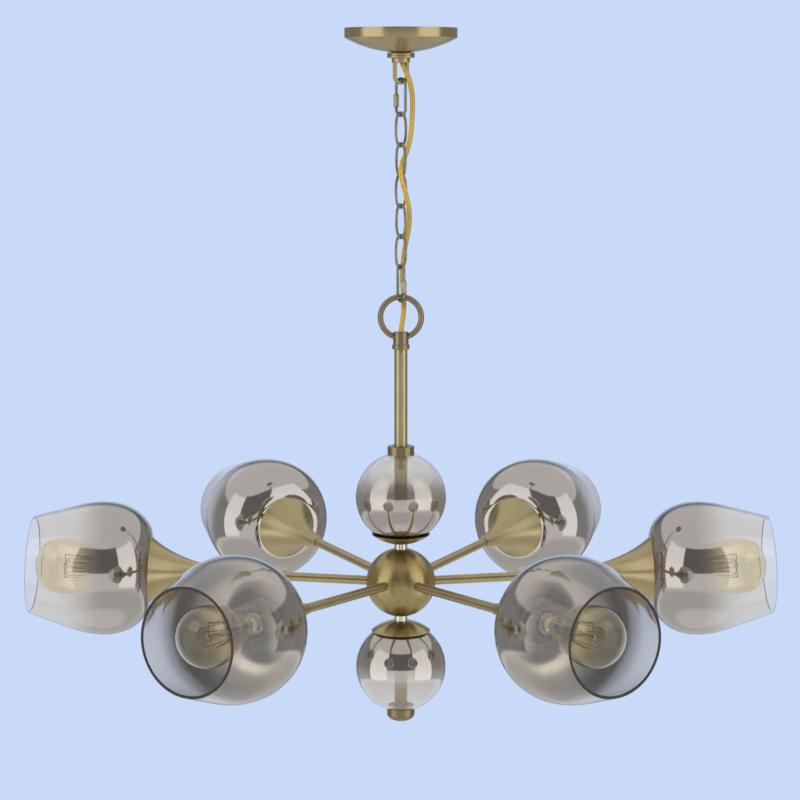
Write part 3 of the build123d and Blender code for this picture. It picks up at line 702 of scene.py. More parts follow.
# Supply cord: its smooth line is a NURBS spline on the route's points
route = bpy.data.curves.new("cord_route", "CURVE")
route.dimensions = "3D"
route.resolution_u = 16
spline = route.splines.new("NURBS")
spline.points.add(len(cord_route) - 1)
spline.points.foreach_set("co", np.column_stack([cord_route, np.ones(len(cord_route))]).ravel())
spline.order_u = 3
spline.use_endpoint_u = True
route_holder = bpy.data.objects.new("cord_route", route)
route_mesh = bpy.data.meshes.new_from_object(route_holder)
smooth_line = np.empty(3 * len(route_mesh.vertices))
route_mesh.vertices.foreach_get("co", smooth_line)
smooth_line = smooth_line.reshape(-1, 3)
if smooth_line[0, 2] < smooth_line[-1, 2]:
    smooth_line = smooth_line[::-1]
bpy.data.objects.remove(route_holder)
bpy.data.curves.remove(route)
bpy.data.meshes.remove(route_mesh)


def cord_section(segments):
    """Distance from the cord's middle to its skin at each angle f: the farthest of its three round strands,
    where a strand of radius r at c is reached at c cos f + sqrt(r^2 - c^2 sin^2 f)."""
    angle = turns(segments)[:, None]
    place = np.array([*cord_lobe_places, earth_lobe_place])
    size = np.array([cord_lobe_radius, cord_lobe_radius, earth_lobe_radius])
    inside = size**2 - (place * np.sin(angle)) ** 2
    reach = place * np.cos(angle) + np.sqrt(np.maximum(inside, 0))
    return np.max(np.where(inside > 0, reach, 0), axis=1)


def line_at(levels):
    """The cord's line at given levels, read from the spline, whose points all lie below one another."""
    falling = smooth_line[::-1]
    return np.column_stack([np.interp(levels, falling[:, 2], falling[:, axis]) for axis in (0, 1, 2)])


# The cord crosses the chain's eight joints, so it is eight lengths, and each runs across one joint
chain_bodies = ["ceiling_mount", "quick_link_top"]
chain_bodies += [f"chain_link_{number}" for number in range(1, link_count + 1)]
chain_bodies += ["quick_link_bottom", "fixture"]
bend_starts = cord_cuts[:-1].copy()
bend_ends = cord_cuts[1:].copy()
bend_starts[0] = cord_first_bend
bend_ends[-1] = cord_last_bend
skin = cord_section(cord_segments)
for number, (above, below) in enumerate(zip(chain_bodies, chain_bodies[1:])):
    line = line_at(np.linspace(cord_cuts[number], cord_cuts[number + 1], cord_rows))
    facing = np.cross(unit(np.gradient(line, axis=0)), np.array([0.0, 1.0, 0.0]))
    surface = carried(line, facing, skin, cord_segments)
    name = f"supply_cord_length_{number + 1}"
    piece = mesh_piece(name, None, [surface], gold_pvc, "cord_jacket", "supply_cord")
    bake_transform(piece)

# Canopy: straight rim, then a dome of radius (rim^2 + rise^2) / (2 rise)
origin = np.zeros(3)
dome_radius = (canopy_radius**2 + canopy_dome_height**2) / (2 * canopy_dome_height)
dome_centre = dome_level + dome_radius


def dome(radii, inset):
    """Outline of the dome: height = centre - sqrt((dome radius - inset)^2 - radius^2)."""
    return np.column_stack([radii, dome_centre - np.sqrt((dome_radius - inset) ** 2 - radii**2)])


inner_edge = canopy_radius - canopy_wall
outer_dome = dome(np.linspace(canopy_radius, canopy_hole, 40), 0)
inner_dome = dome(np.linspace(canopy_hole, inner_edge, 40), canopy_wall)
canopy_outline = np.concatenate([[(canopy_radius, 0)], outer_dome, inner_dome, [(inner_edge, 0)]])
canopy_outline = rounded(canopy_outline, 0.3 * mm, steps=4, others={1: canopy_rim_ease})
bowl = turned(canopy_outline, origin, up, segments=160)
mesh_piece("canopy_bowl", "canopy", [bowl], antique_brass, "antique_brass", "canopy")

# Screw collar: a turned ring with a groove round its middle
collar_middle = collar_level + 0.55 * collar_height
collar_outline = [
    (collar_bore, collar_level),
    (collar_radius - collar_foot_edge, collar_level),
    (collar_radius, collar_level + collar_edge),
    (collar_radius, collar_middle - collar_groove),
    (collar_radius - collar_groove, collar_middle),
    (collar_radius, collar_middle + collar_groove),
    (collar_radius, dome_level - collar_edge),
    (collar_radius - collar_edge, dome_level),
    (collar_bore, dome_level),
]
ring = turned(rounded(collar_outline, 0.35 * mm), origin, up)
mesh_piece("screw_collar_ring", "screw_collar", [ring], antique_brass, "antique_brass", "screw_collar")

# Loop: threaded shank and round body in one turned piece, and the bail of round bar under it
shank_top = collar_level + loop_shank_length
thread_rows = np.linspace(collar_level + 0.4 * mm, shank_top - loop_shank_edge, 90)
loop_body = [(loop_exit_bore, loop_level), (loop_body_radius, loop_level), (loop_body_radius, collar_level)]
loop_inside = [(loop_shank_radius - loop_shank_edge, shank_top), (loop_bore, shank_top)]
loop_inside += [(loop_bore, nipple_foot), (loop_exit_bore, nipple_foot)]
loop_body = rounded(loop_body, 0.9 * mm, closed=False)
loop_outline = np.concatenate([loop_body, wall(loop_shank_radius, thread_rows), loop_inside])
loop_thread = helix(thread_rows[0], thread_rows[-1], loop_thread_pitch, loop_thread_depth, loop_bore + mm)
bail_half = bail_width / 2
bail_bend = bail_level - bail_wire / 2 + bail_half
bail_leg = np.linspace(loop_level + bail_wire / 2, bail_bend, 14)[:-1]
bail_round = arc((0, bail_bend), bail_half, 180, 360, 40)
bail_line = np.concatenate([wall(-bail_half, bail_leg), bail_round, wall(bail_half, bail_leg[::-1])])
loop_surfaces = [
    turned(loop_outline, origin, up, segments=72, ripple=loop_thread),
    carried(*hanging(bail_line, bail_turn), bail_wire / 2, segments=28),
]
mesh_piece(
    "canopy_loop_and_bail", "ceiling_mount", loop_surfaces, antique_brass, "antique_brass", "canopy_loop"
)

# Chain links: bent wire with its butt seam in one leg
for number in range(1, link_count + 1):
    node = f"chain_link_{number}"
    upper = link_top_level - (number - 1) * link_pitch + link_wire / 2 - link_width / 2
    lower = upper - (link_inner_length + link_wire - link_width)
    line, normal = hanging(oval(link_width, upper, lower), link_turns[(number + 1) % 2])
    from_seam = np.linalg.norm(line - line[0], axis=1)
    seam = 1 - link_seam_depth * np.exp(-((from_seam / link_seam_width) ** 2))
    wire = carried(line, normal, link_wire / 2 * seam[:, None], wire_segments, closed=True)
    mesh_piece(f"{node}_wire", node, [wire], chain_wire, "chain_brass", node)


def sleeve_skin(low, high):
    """Ripple for turned(): the outer rows take the smaller of a hexagon, flats / 2 / cos a about each flat,
    and a cone at each end."""

    def ripple(angle, outline):
        radius, height = outline[..., 0], outline[..., 1]
        from_flat = (angle + np.pi / 6) % (np.pi / 3) - np.pi / 6
        hexagon = sleeve_flats / 2 / np.cos(from_flat)
        cone = 0.42 * sleeve_flats + 1.1 * np.minimum(height - low, high - height)
        return np.where(radius > 0.4 * sleeve_flats, np.minimum(hexagon, cone) - radius, 0)

    return ripple


# Quick links: open wire, threaded beside the gap that its hexagon sleeve closes
half = quick_width / 2
for place, inner_top in (("top", quick_top_level), ("bottom", quick_bottom_level)):
    node = f"quick_link_{place}"
    upper = inner_top + quick_wire / 2 - half
    lower = upper - (quick_inner_length + quick_wire - quick_width)
    sleeve_low = lower + sleeve_above_bend
    sleeve_high = sleeve_low + sleeve_length
    gap_low = sleeve_low + sleeve_gap_start
    gap_high = gap_low + sleeve_gap_length
    flat_line = np.concatenate(
        [
            wall(half, np.linspace(gap_low, lower, 40)[:-1]),
            arc((0, lower), half, 0, -180, 30),
            wall(-half, np.linspace(lower, upper, 12)[1:-1]),
            arc((0, upper), half, 180, 0, 30),
            wall(half, np.linspace(upper, gap_high, 90)[1:]),
        ]
    )
    flat_line[:, 0] *= quick_sides[place]
    line, normal = hanging(flat_line, quick_turns[place])
    reach = distances(line)
    near_end = np.minimum(reach, reach[-1] - reach) < quick_thread_length
    cut = groove(turns(wire_segments), reach[:, None], quick_thread_pitch) * near_end[:, None]
    wire = carried(line, normal, quick_wire / 2 * (1 - 2 * quick_thread_depth * cut), wire_segments)
    mesh_piece(f"{node}_wire", node, [wire], chain_wire, "chain_brass", node)
    outer = wall(sleeve_flats / math.sqrt(3), np.linspace(sleeve_low, sleeve_high, 21))
    sleeve_outline = np.concatenate([[(sleeve_bore, sleeve_low)], outer, [(sleeve_bore, sleeve_high)]])
    leg_place = hanging(np.array([(quick_sides[place] * half, 0)]), quick_turns[place])[0][0]
    hexagon = sleeve_skin(sleeve_low, sleeve_high)
    nut = turned(sleeve_outline, leg_place, up, segments=60, ripple=hexagon)
    mesh_piece(f"{node}_nut", f"{node}_sleeve", [nut], chain_wire, "chain_brass", f"{node}_sleeve")

# Hanging ring of round bar, whose two ends butt on the coupling
ring_arc = arc((0, ring_level), ring_radius, -90 + ring_end_angle, 270 - ring_end_angle, 120)
ring_bar = carried(*hanging(ring_arc, 0.0), ring_wire / 2, segments=32)
mesh_piece("hanging_ring_bar", "fixture", [ring_bar], darker_brass, "antique_brass", "hanging_ring")


def fixture_turning(name, outline, finish, slot, node, segments=96, **settings):
    """A turned piece on the Z axis that belongs to the lamp's body."""
    mesh_piece(name, "fixture", [turned(outline, origin, up, segments, **settings)], finish, slot, node)


flange_top = coupling_bottom + flange_height
cord_seat = coupling_top - coupling_cord_depth
coupling_outline = [
    (rod_hole, coupling_bottom),
    (flange_radius, coupling_bottom),
    (flange_radius, flange_top),
    (coupling_radius, flange_top + 0.6 * mm),
    (coupling_radius, coupling_top),
    (coupling_bore, coupling_top),
    (coupling_bore, cord_seat),
    (rod_hole, cord_seat),
]
coupling_outline = rounded(coupling_outline, 0.7 * mm)
fixture_turning("ring_coupling_turned", coupling_outline, darker_brass, "antique_brass", "ring_coupling")

# Stem, and the sleeve that goes on through the lower ball
seat_sphere = ball_radius + ball_seat_gap
stem_bottom = upper_ball_level - height_on(cup_inner, stem_radius)
stem_outline = tube_outline(stem_bore, stem_radius, stem_bottom, coupling_bottom)
fixture_turning("stem_tube_brushed", stem_outline, antique_brass, "antique_brass", "stem_tube")
sleeve_top = lower_ball_level + height_on(cup_inner, stem_radius)
sleeve_foot = lower_ball_level - height_on(seat_sphere, stem_radius)
sleeve_outline = tube_outline(stem_bore, stem_radius, sleeve_foot, sleeve_top)
fixture_turning("lower_ball_tube", sleeve_outline, antique_brass, "antique_brass", "lower_ball_sleeve")

# Collar on the upper ball: a straight knob, hollowed to the glass
collar_reach = height_on(seat_sphere, ball_collar_radius)
collar_seat = ball_arc(seat_sphere, upper_ball_level, height_on(seat_sphere, stem_radius), collar_reach, 12)
collar_side = [
    (ball_collar_radius, upper_ball_level + collar_reach + 0.2 * mm),
    (ball_collar_radius, ball_collar_top),
    (stem_radius + ball_seat_gap, ball_collar_top),
]
collar_outline = np.concatenate([collar_seat, rounded(collar_side, 1.0 * mm, closed=False)])
fixture_turning("upper_ball_collar_turned", collar_outline, darker_brass, "antique_brass", "upper_ball_collar")

# Blown glass balls, pierced for the stem and silvered on the hub's side, each with a spun cup towards the hub
balls = (("upper", upper_ball_level, -1), ("lower", lower_ball_level, 1))
inner_sphere = ball_radius - ball_wall
outer_reach = height_on(ball_radius, ball_hole)
inner_reach = height_on(inner_sphere, ball_hole)
rim = height_on(cup_inner, cup_rim_radius)
outer_cup = ball_arc(cup_outer, 0, rim, height_on(cup_outer, rod_hole), 36)
inner_cup = ball_arc(cup_inner, 0, height_on(cup_inner, rod_hole), rim, 36)
cup_edge = {0: cup_rim_ease, -1: cup_rim_ease}
cup_outline = rounded(np.concatenate([outer_cup, inner_cup]), 0, steps=4, others=cup_edge)
for place, level, hub_side in balls:
    outer = ball_arc(ball_radius, level, -outer_reach, outer_reach, 96)
    inner = ball_arc(inner_sphere, level, inner_reach, -inner_reach, 96)

    def from_hub(outline, level=level, hub_side=hub_side):
        """Share of the ball's height from the hub's side, 2 less that share inside. It ends at ball_clearing,
        short of 1, because the silver reaches farther on a ball than on a shade."""
        height = outline[:, 1] - level
        share = ball_clearing * (0.5 - hub_side * height / (2 * ball_radius))
        within = np.hypot(outline[:, 0], height) < ball_radius - ball_wall / 2
        return np.where(within, 2 - share, share)

    fixture_turning(
        f"{place}_ball_glass", np.concatenate([outer, inner]), smoked_glass, "smoked_glass",
        f"{place}_glass_ball", segments=144, share=from_hub,
    )
    fixture_turning(
        f"{place}_cup_spun", placed(cup_outline, level, hub_side), antique_brass, "antique_brass",
        f"{place}_ball_cup", segments=128,
    )

# Rubber gaskets: a band in each cup's rim with a round lip that stands proud
lip = rim - gasket_proud
outer = ball_arc(cup_inner - gasket_gap, 0, rim + gasket_depth, lip, 12)
inner = ball_arc(ball_radius + gasket_gap, 0, lip, rim + gasket_depth, 12)
lip_edges = {11: gasket_lip_ease, 12: gasket_lip_ease}
band = rounded(np.concatenate([outer, inner]), 0.05 * mm, others=lip_edges)
bands = [placed(band, level, hub_side) for place, level, hub_side in balls]
gasket_bands = [turned(outline, origin, up, segments=128) for outline in bands]
mesh_piece("gasket_bands", "fixture", gasket_bands, black_rubber, "gasket_rubber", "ball_gaskets")

# Necks between cups and hub: straight spools, cut to the hub's sphere and the cup's
hub_end = height_on(hub_radius, neck_radius)
cup_end = ball_to_hub - height_on(cup_outer, neck_radius)
bore_ends = (height_on(hub_radius, rod_hole), ball_to_hub - height_on(cup_outer, rod_hole))
spool = wall(neck_radius, np.linspace(hub_end, cup_end, 16))
spool = np.concatenate([[(rod_hole, bore_ends[0])], spool, [(rod_hole, bore_ends[1])]])
neck_turnings = [turned(placed(spool, hub_level, side), origin, up, segments=72) for side in (-1, 1)]
mesh_piece("neck_spools", "fixture", neck_turnings, polished_nickel, "zinc_steel", "hub_necks")

# Finial: a shallow dome under a straight band, hollowed to the lower ball
finial_reach = height_on(seat_sphere, finial_radius)
finial_edge = finial_level + finial_dome_height
finial_dome = arc((0, finial_edge), finial_radius, -90, 0, 24, finial_dome_height / finial_radius)
finial_seat = ball_arc(seat_sphere, lower_ball_level, -finial_reach, -height_on(seat_sphere, rod_hole), 16)
finial_band = [(finial_radius, lower_ball_level - finial_reach - 0.5 * mm)]
finial_floor = finial_level + finial_thread_cover - 0.6 * mm
finial_bore = [(rod_hole, finial_floor), (0, finial_floor)]
finial_outline = np.concatenate([finial_dome, finial_band, finial_seat, finial_bore])
# The finial's darker brass is a painted dark reflection of the floor below it
fixture_turning("finial_turned", finial_outline, darker_brass, "antique_brass", "finial", closed=False)


def hermite(places, values, slopes, count):
    """Smooth curve through values at places with given slopes: cubic pieces
    h00 v0 + h10 d s0 + h01 v1 + h11 d s1."""
    at = np.linspace(places[0], places[-1], count)
    piece = np.clip(np.searchsorted(places, at, side="right") - 1, 0, len(places) - 2)
    start, width = places[piece], places[piece + 1] - places[piece]
    t = (at - start) / width
    value = (1 + 2 * t) * (1 - t) ** 2 * values[piece] + t * (1 - t) ** 2 * width * slopes[piece]
    value += t**2 * (3 - 2 * t) * values[piece + 1] + t**2 * (t - 1) * width * slopes[piece + 1]
    return np.column_stack([value, at])


# Outlines along an arm, as (radius, distance from the hub's centre)
arm_outline = tube_outline(arm_bore, arm_radius, arm_start, arm_end, rows=60)


def horn(distance):
    """The trumpet's outer radius falls off as radius * exp(-distance / flare) behind the shade's seat."""
    return trumpet_radius * np.exp(-distance / trumpet_flare)


bore_from = trumpet_flare * math.log(trumpet_radius / (arm_hole + trumpet_wall))
outside = np.linspace(trumpet_length, 0, 56)
inside = np.linspace(trumpet_plate, bore_from, 40)
plate_hole = socket_back_radius + 0.1 * mm
horn_outline = np.concatenate(
    [
        np.column_stack([horn(outside), shade_seat - outside]),
        [(plate_hole, shade_seat), (plate_hole, shade_seat - trumpet_plate)],
        np.column_stack([horn(inside) - trumpet_wall, shade_seat - inside]),
        [(arm_hole, shade_seat - trumpet_length)],
    ]
)
horn_outline = rounded(horn_outline, 0, others={len(outside) - 1: horn_rim_ease})


def shade_face(inset):
    """One face of the glass: flat base, quarter ellipse, long arc and straight taper to the rim."""
    taper = math.radians(shade_taper)
    bulge = shade_seat + shade_bulge_at
    base_radii = np.linspace(shade_hole, shade_base_radius, 6)[:-1]
    base = np.column_stack([base_radii, np.full(len(base_radii), shade_seat + inset)])
    swell = np.radians(np.linspace(180, 90, 40))
    swell_radii = shade_base_radius + (shade_radius - shade_base_radius - inset) * np.sin(swell)
    ellipse = np.column_stack([swell_radii, bulge + (shade_bulge_at - inset) * np.cos(swell)])
    turn = np.linspace(0, taper, 20)[1:]
    side_radius = shade_side_radius - inset
    side_radii = shade_radius - shade_side_radius + side_radius * np.cos(turn)
    side = np.column_stack([side_radii, bulge + side_radius * np.sin(turn)])
    last_radius, last_place = side[-1]
    straight = np.linspace(last_place, shade_seat + shade_length, 20)[1:]
    run = np.column_stack([last_radius - (straight - last_place) * math.tan(taper), straight])
    return np.concatenate([base, ellipse, side, run])


glass_outer = shade_face(0)
shade_outline = np.concatenate([glass_outer, shade_face(shade_wall)[::-1]])
rim_edges = {len(glass_outer) - 1: shade_rim_ease, len(glass_outer): shade_rim_ease}
shade_outline = rounded(shade_outline, 0, steps=6, others=rim_edges)


def from_seat(outline):
    """Share of the shade's length from its base, 2 less that share on the inner face."""
    share = (outline[:, 1] - shade_seat) / shade_length
    skin = np.interp(outline[:, 1], glass_outer[:, 1], glass_outer[:, 0])
    return np.where(outline[:, 0] < skin - shade_wall / 2, 2 - share, share)


# Socket: back, skirt with a coarse thread for the clamp ring, and a threaded bore
socket_start = shade_seat - socket_back_length
socket_mouth = shade_seat + socket_skirt_length
socket_floor = socket_mouth - socket_depth
pocket_end = arm_end + 0.3 * mm
skirt_rows = np.linspace(shade_seat + 1.0 * mm, socket_mouth - 1.0 * mm, 70)
bore_rows = np.linspace(socket_mouth - 1.0 * mm, socket_floor + 1.0 * mm, 90)
socket_outline = np.concatenate(
    [
        [(0, pocket_end), (arm_hole, pocket_end), (arm_hole, socket_start)],
        [(socket_back_radius, socket_start), (socket_back_radius, shade_seat)],
        [(socket_skirt_radius - 0.8 * mm, shade_seat)],
        wall(socket_skirt_radius, skirt_rows),
        [(socket_skirt_radius - 1.0 * mm, socket_mouth), (socket_bore + 0.8 * mm, socket_mouth)],
        wall(socket_bore, bore_rows),
        [(socket_bore, socket_floor), (0, socket_floor)],
    ]
)


def socket_thread(angle, outline):
    """Ripple for turned(): depth * groove, into the skirt and out into the bore's wall."""
    radius, height = outline[..., 0], outline[..., 1]
    on_skirt = (np.abs(radius - socket_skirt_radius) < 1e-9) & (height > shade_seat + 6 * mm)
    in_bore = (np.abs(radius - socket_bore) < 1e-9) & (height > socket_floor + 2 * mm)
    return socket_thread_depth * groove(angle, height, socket_thread_pitch) * (in_bore * 1.0 - on_skirt)


# Clamp ring on the socket's skirt, with a step round its hole
ring_back = shade_seat + shade_wall
ring_front = ring_back + shade_ring_height
ring_step = ring_front - 1.0 * mm
clamp_outline = [
    (shade_ring_bore, ring_back),
    (shade_ring_radius, ring_back),
    (shade_ring_radius, ring_front - shade_ring_edge),
    (shade_ring_radius - shade_ring_edge, ring_front),
    (shade_ring_bore + 3.2 * mm, ring_front),
    (shade_ring_bore + 2.6 * mm, ring_step),
    (shade_ring_bore, ring_step),
]
clamp_outline = rounded(clamp_outline, 0.4 * mm)

# Bulb: envelope from pole to pole, cap with a rolled thread, insulator and contact
bulb_neck_place = bulb_tip - bulb_neck
belly = bulb_tip - bulb_dome


def envelope(inset):
    """Glass from neck to tip: a smooth swell to the belly and then a quarter ellipse."""
    places = np.array([bulb_neck_place + inset, bulb_tip - bulb_shoulder, belly])
    values = np.array([bulb_neck_radius, bulb_shoulder_radius, bulb_radius]) - inset
    swell = hermite(places, values, np.array([0, bulb_shoulder_slope, 0]), 48)
    radius = bulb_radius - inset
    tip = arc((0, belly), radius, 0, 90, 30, (bulb_dome - inset) / radius)[1:]
    tip[-1, 0] = 0
    return np.concatenate([swell, tip])


envelope_outline = np.concatenate([envelope(bulb_wall)[::-1], envelope(0)])


def from_neck(outline):
    """Share of the bulb's glass from its neck."""
    return (outline[:, 1] - bulb_neck_place) / bulb_neck


cap_start = bulb_base + bulb_contact_height
cap_rows = np.linspace(cap_start + 1.5 * mm, bulb_neck_place - 1.5 * mm, 60)
cap_foot = [(0, cap_start), (bulb_cap_radius - 1.0 * mm, cap_start)]
cap_lip = [(bulb_cap_radius - 0.6 * mm, bulb_neck_place), (0, bulb_neck_place)]
cap_outline = np.concatenate([cap_foot, wall(bulb_cap_radius, cap_rows), cap_lip])
cap_thread = helix(cap_rows[0], cap_rows[-1], bulb_thread_pitch, bulb_thread_depth)
insulator_outline = [
    (0, bulb_base),
    (bulb_contact_radius, bulb_base),
    (bulb_contact_radius, bulb_base + 1.2 * mm),
    (bulb_cap_radius - 1.6 * mm, cap_start),
    (0, cap_start),
]
insulator_outline = rounded(insulator_outline, 0.4 * mm, closed=False)

# Cage filament: a pressed glass stem, a button with radial hooks, and one wire up and down on a cone
stem_foot = bulb_neck_place + 1.2 * mm
button_place = bulb_tip - 34 * mm
stem_line = [
    (0, stem_foot),
    (8.0 * mm, stem_foot),
    (6.0 * mm, stem_foot + 10 * mm),
    (3.4 * mm, stem_foot + 22 * mm),
    (stem_rod_radius, stem_foot + 28 * mm),
    (stem_rod_radius, button_place - 2.4 * mm),
    (button_radius, button_place - 1.2 * mm),
    (button_radius, button_place + 1.2 * mm),
    (0, button_place + 2.2 * mm),
]
stem_glass_outline = rounded(stem_line, 4 * mm, closed=False, steps=7)
cage_foot = stem_foot + 26 * mm


def cage(axis):
    """Filament wires: hooks run straight out from the button, two leads rise from the stem, and the filament
    follows a smoothed zigzag, height = middle + half * sin(1.1 sin(n t)) / sin(1.1), on a cone that widens
    towards the tip."""
    sideways = unit(np.cross(up, axis))
    other = np.cross(axis, sideways)

    def at(radius, angle, distance):
        """Points at a distance along the bulb and at a radius and angle about it."""
        spoke = np.cos(angle)[:, None] * sideways + np.sin(angle)[:, None] * other
        return hub_centre + distance[:, None] * axis + radius[:, None] * spoke

    turn = np.linspace(0, 2 * np.pi * cage_turn, 400)
    swing = np.sin(1.1 * np.sin(hook_count * turn)) / math.sin(1.1)
    height = (cage_foot + button_place) / 2 + (button_place - cage_foot) / 2 * swing
    share = (height - cage_foot) / (button_place - cage_foot)
    radius = cage_foot_radius + (cage_top_radius - cage_foot_radius) * share
    filament = at(radius, turn, height)
    wires = [carried(filament, axis + 0 * height[:, None], cage_wire_radius, filament_segments)]
    out = np.linspace(0, 1, 6)
    hook_start = button_radius * 0.6
    for number in range(hook_count):
        angle = (2 * np.pi * number + np.pi / 2) / hook_count + 0 * out
        hook = at(hook_start + (cage_top_radius - hook_start) * out, angle, button_place + 0 * out)
        wires.append(carried(hook, axis + 0 * out[:, None], hook_radius, filament_segments))
    for lead_angle in lead_angles:
        rise = stem_foot + 14 * mm + (cage_foot - stem_foot - 10 * mm) * out
        reach = lead_start + (cage_foot_radius - lead_start) * out**1.5
        lead = at(reach, lead_angle + 0 * out, rise)
        wires.append(carried(lead, sideways + 0 * out[:, None], hook_radius, filament_segments))
    return wires


# The turned pieces of each light: node, piece, whether it stands for its node, outline, segments, finish,
# slot and how it is turned
is_open = {"closed": False}
blown_bulb = {"closed": False, "share": from_neck}
light_turnings = (
    ("arm", "tube", True, arm_outline, 64, antique_brass, "antique_brass", {}),
    ("trumpet", "horn", True, horn_outline, 128, antique_brass, "antique_brass", {}),
    ("shade", "glass", True, shade_outline, 144, smoked_glass, "smoked_glass", {"share": from_seat}),
    ("bulb", "envelope", True, envelope_outline, 96, amber_glass, "bulb_glass", blown_bulb),
    ("bulb", "cap", False, cap_outline, 64, cap_nickel, "zinc_steel", {**is_open, "ripple": cap_thread}),
    ("bulb", "insulator", False, insulator_outline, 48, black_vitrite, "ring_plastic", is_open),
    ("bulb", "stem", False, stem_glass_outline, 40, stem_glass, "bulb_glass", blown_bulb),
)
sockets = []
clamps = []
for number in range(1, arm_count + 1):
    axis = arm_axis(number - 1)
    for node, kind, whole, outline, segments, finish, slot, settings in light_turnings:
        node = f"{node}_{number}"
        body = node if node.startswith("bulb") else "fixture"
        surface = turned(outline, hub_centre, axis, segments, **settings)
        mesh_piece(f"{node}_{kind}", body, [surface], finish, slot, *([node] if whole else []))
    bulb = f"bulb_{number}"
    mesh_piece(f"{bulb}_filament", bulb, cage(axis), filament_wire, "zinc_steel")
    sockets.append(turned(socket_outline, hub_centre, axis, segments=72, closed=False, ripple=socket_thread))
    clamps.append(turned(clamp_outline, hub_centre, axis))
mesh_piece("socket_shells", "fixture", sockets, grey_phenolic, "socket_shell", "sockets")
mesh_piece("clamp_rings", "fixture", clamps, grey_pbt, "ring_plastic", "shade_rings")

# Camera at the photograph's place: a long lens, a little above the lamp, tilted down
scene = bpy.context.scene
scene.view_settings.view_transform = "Standard"
camera_data = bpy.data.cameras.new("camera")
camera_data.sensor_width = 36.0
camera_data.lens = 100.602
camera = bpy.data.objects.new("camera", camera_data)
camera.location = (-0.001, -2.5341, -0.0642)
camera.rotation_euler = (math.radians(82.0), 0, 0)
scene.collection.objects.link(camera)
scene.camera = camera

# Studio: rays from the camera and through glass see the flat backdrop, and so do mirrored rays where it
# hangs, straight behind the lamp. All other rays see a soft grey room: a large softbox on each side of the
# camera, a dark window above it, a dim band along the floor, and dim walls at eye level beside and round the
# backdrop
studio = bpy.data.worlds.new("studio")
studio.use_nodes = True
scene.world = studio
room = studio.node_tree
toward = add_node(room, "TexCoord", out="Generated")
east, north, zenith = add_node(room, "SeparateXYZ", {0: toward}).node.outputs
south = add_node(room, "Math", {0: north, 1: -1.0}, operation="MULTIPLY")
bearing = add_node(room, "Math", {0: east, 1: south}, operation="ARCTAN2")
aside = add_node(room, "Math", {0: bearing}, operation="ABSOLUTE")
height = add_node(room, "Math", {0: zenith}, operation="ARCSINE")
from_back = add_node(room, "Math", {0: north}, operation="ARCCOSINE")


def card(level, edges, depth):
    """Changes the room's level over part of it: level * (1 - depth * cover), where cover is the product of a
    smooth step for each edge, an angle that goes from its first value, outside, to its second, in degrees."""
    cover = 1.0
    for angle, outside, inside in edges:
        limits = {"Value": angle, "From Min": math.radians(outside), "From Max": math.radians(inside)}
        step = add_node(room, "MapRange", limits, interpolation_type="SMOOTHSTEP")
        cover = add_node(room, "Math", {0: step, 1: cover}, operation="MULTIPLY")
    left = add_node(room, "Math", {0: cover, 1: -depth, 2: 1.0}, operation="MULTIPLY_ADD")
    return add_node(room, "Math", {0: level, 1: left}, operation="MULTIPLY")


# In turn: the darker ceiling, the floor's band, the window, the side walls, the softboxes and the wall round
# the backdrop
room_level = card(0.95, [(height, 0, 30)], 0.1)
room_level = card(room_level, [(height, -24, -34), (height, -70, -56)], 0.25)
room_level = card(room_level, [(aside, 38, 35), (height, 0, 4), (height, 46, 42)], 0.8)
room_level = card(room_level, [(aside, 84, 87), (height, -26, -22), (height, 26, 22)], 0.62)
room_level = card(room_level, [(aside, 35, 38), (aside, 87, 84), (height, -26, -22), (height, 44, 38)], -0.55)
room_level = card(room_level, [(from_back, 8, 16), (from_back, 40, 24)], 0.5)
reach = {"Value": from_back, "From Min": math.radians(26), "From Max": math.radians(8)}
behind = add_node(room, "MapRange", reach, interpolation_type="SMOOTHSTEP")
rays = add_node(room, "LightPath").node.outputs
mirrored = add_node(room, "Math", {0: rays["Is Glossy Ray"], 1: behind}, operation="MULTIPLY")
seen = {0: rays["Is Camera Ray"], 1: rays["Is Transmission Ray"]}
seen = add_node(room, "Math", seen, operation="MAXIMUM")
flat = add_node(room, "Math", {0: seen, 1: mirrored}, operation="MAXIMUM")
shown = add_node(room, "Mix", {0: flat, 6: room_level, 7: backdrop}, data_type="RGBA")
plug(room.nodes["Background"], {"Color": shown})


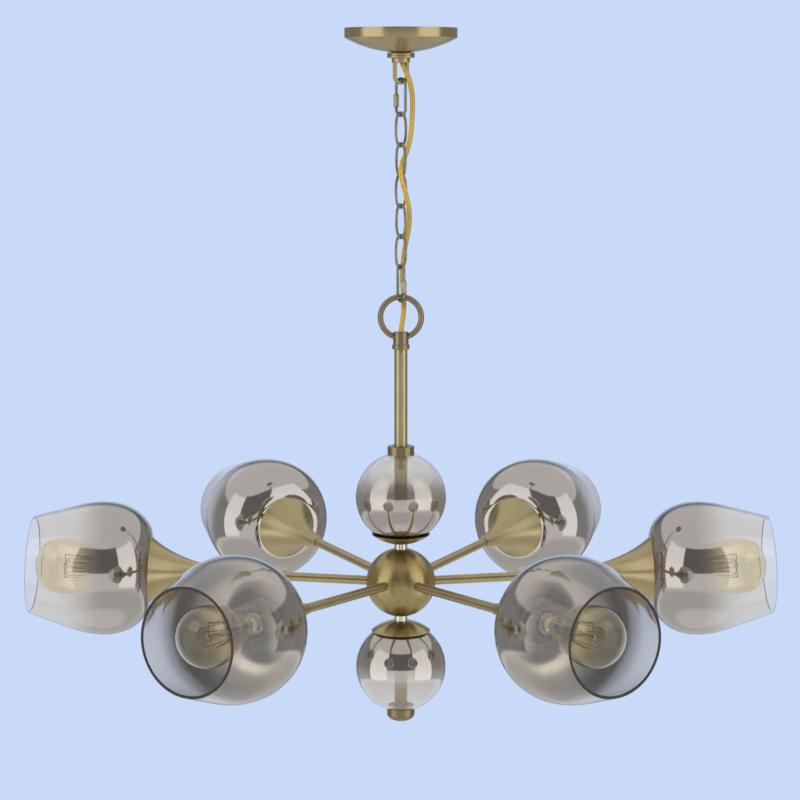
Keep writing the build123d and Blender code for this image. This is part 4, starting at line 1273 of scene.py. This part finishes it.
def softbox(name, place, size, power):
    """Area light aimed at the lamp's hub. Camera and mirrored rays see the room's own softboxes instead."""
    light = bpy.data.lights.new(name, "AREA")
    light.shape = "RECTANGLE"
    light.size, light.size_y = size
    light.energy = power
    holder = bpy.data.objects.new(name, light)
    ahead = unit(hub_centre - np.array(place))
    right = unit(np.cross(ahead, up + 1e-4))
    above = np.cross(right, ahead)
    turn = np.eye(4)
    turn[:3] = np.column_stack([right, above, -ahead, place])
    holder.matrix_world = turn.T.tolist()
    holder.visible_camera = False
    holder.visible_glossy = False
    scene.collection.objects.link(holder)


softbox("softbox_left", (-1.5, -1.0, 0.75), (1.6, 1.2), 8.0)
softbox("softbox_right", (1.5, -1.0, 0.75), (1.6, 1.2), 8.0)
softbox("top_light", (0.0, -0.1, 1.0), (1.5, 1.5), 5.0)

# Pale floor far below, which fades into the backdrop at its edge
floor_radius = 1.9
floor_level = -2.4
floor_corners = 96
floor_finish, tree, shader = new_finish("pale_matt_floor")
place = add_node(tree, "TexCoord", out="Object")
flat_place = add_node(tree, "VectorMath", {0: place, 1: (1.0, 1.0, 0.0)}, operation="MULTIPLY")
from_middle = add_node(tree, "VectorMath", {0: flat_place}, out="Value", operation="LENGTH")
fade = {"Value": from_middle, "From Min": 0.9, "From Max": floor_radius - 0.05, "To Min": 1.0, "To Max": 0.0}
cover = add_node(tree, "MapRange", fade, interpolation_type="SMOOTHSTEP")
grain = add_node(tree, "TexNoise", {"Vector": place, "Scale": 40.0, "Detail": 3.0})
floor_tones = {0: grain, 6: linear("#CBD8F0"), 7: linear("#D3DFF5")}
floor_colour = add_node(tree, "Mix", floor_tones, data_type="RGBA")
plug(shader, {"Base Color": floor_colour, "Alpha": cover, "Roughness": 0.9})
floor_turn = turns(floor_corners)
floor_edge = [floor_radius * np.cos(floor_turn), floor_radius * np.sin(floor_turn)]
floor_points = np.column_stack([*floor_edge, np.full(floor_corners, floor_level)])
floor_mesh = bpy.data.meshes.new("floor")
floor_mesh.from_pydata(floor_points.tolist(), [], [list(range(floor_corners))])
floor_mesh.materials.append(floor_finish)
floor = bpy.data.objects.new("floor", floor_mesh)
floor.visible_glossy = False
scene.collection.objects.link(floor)
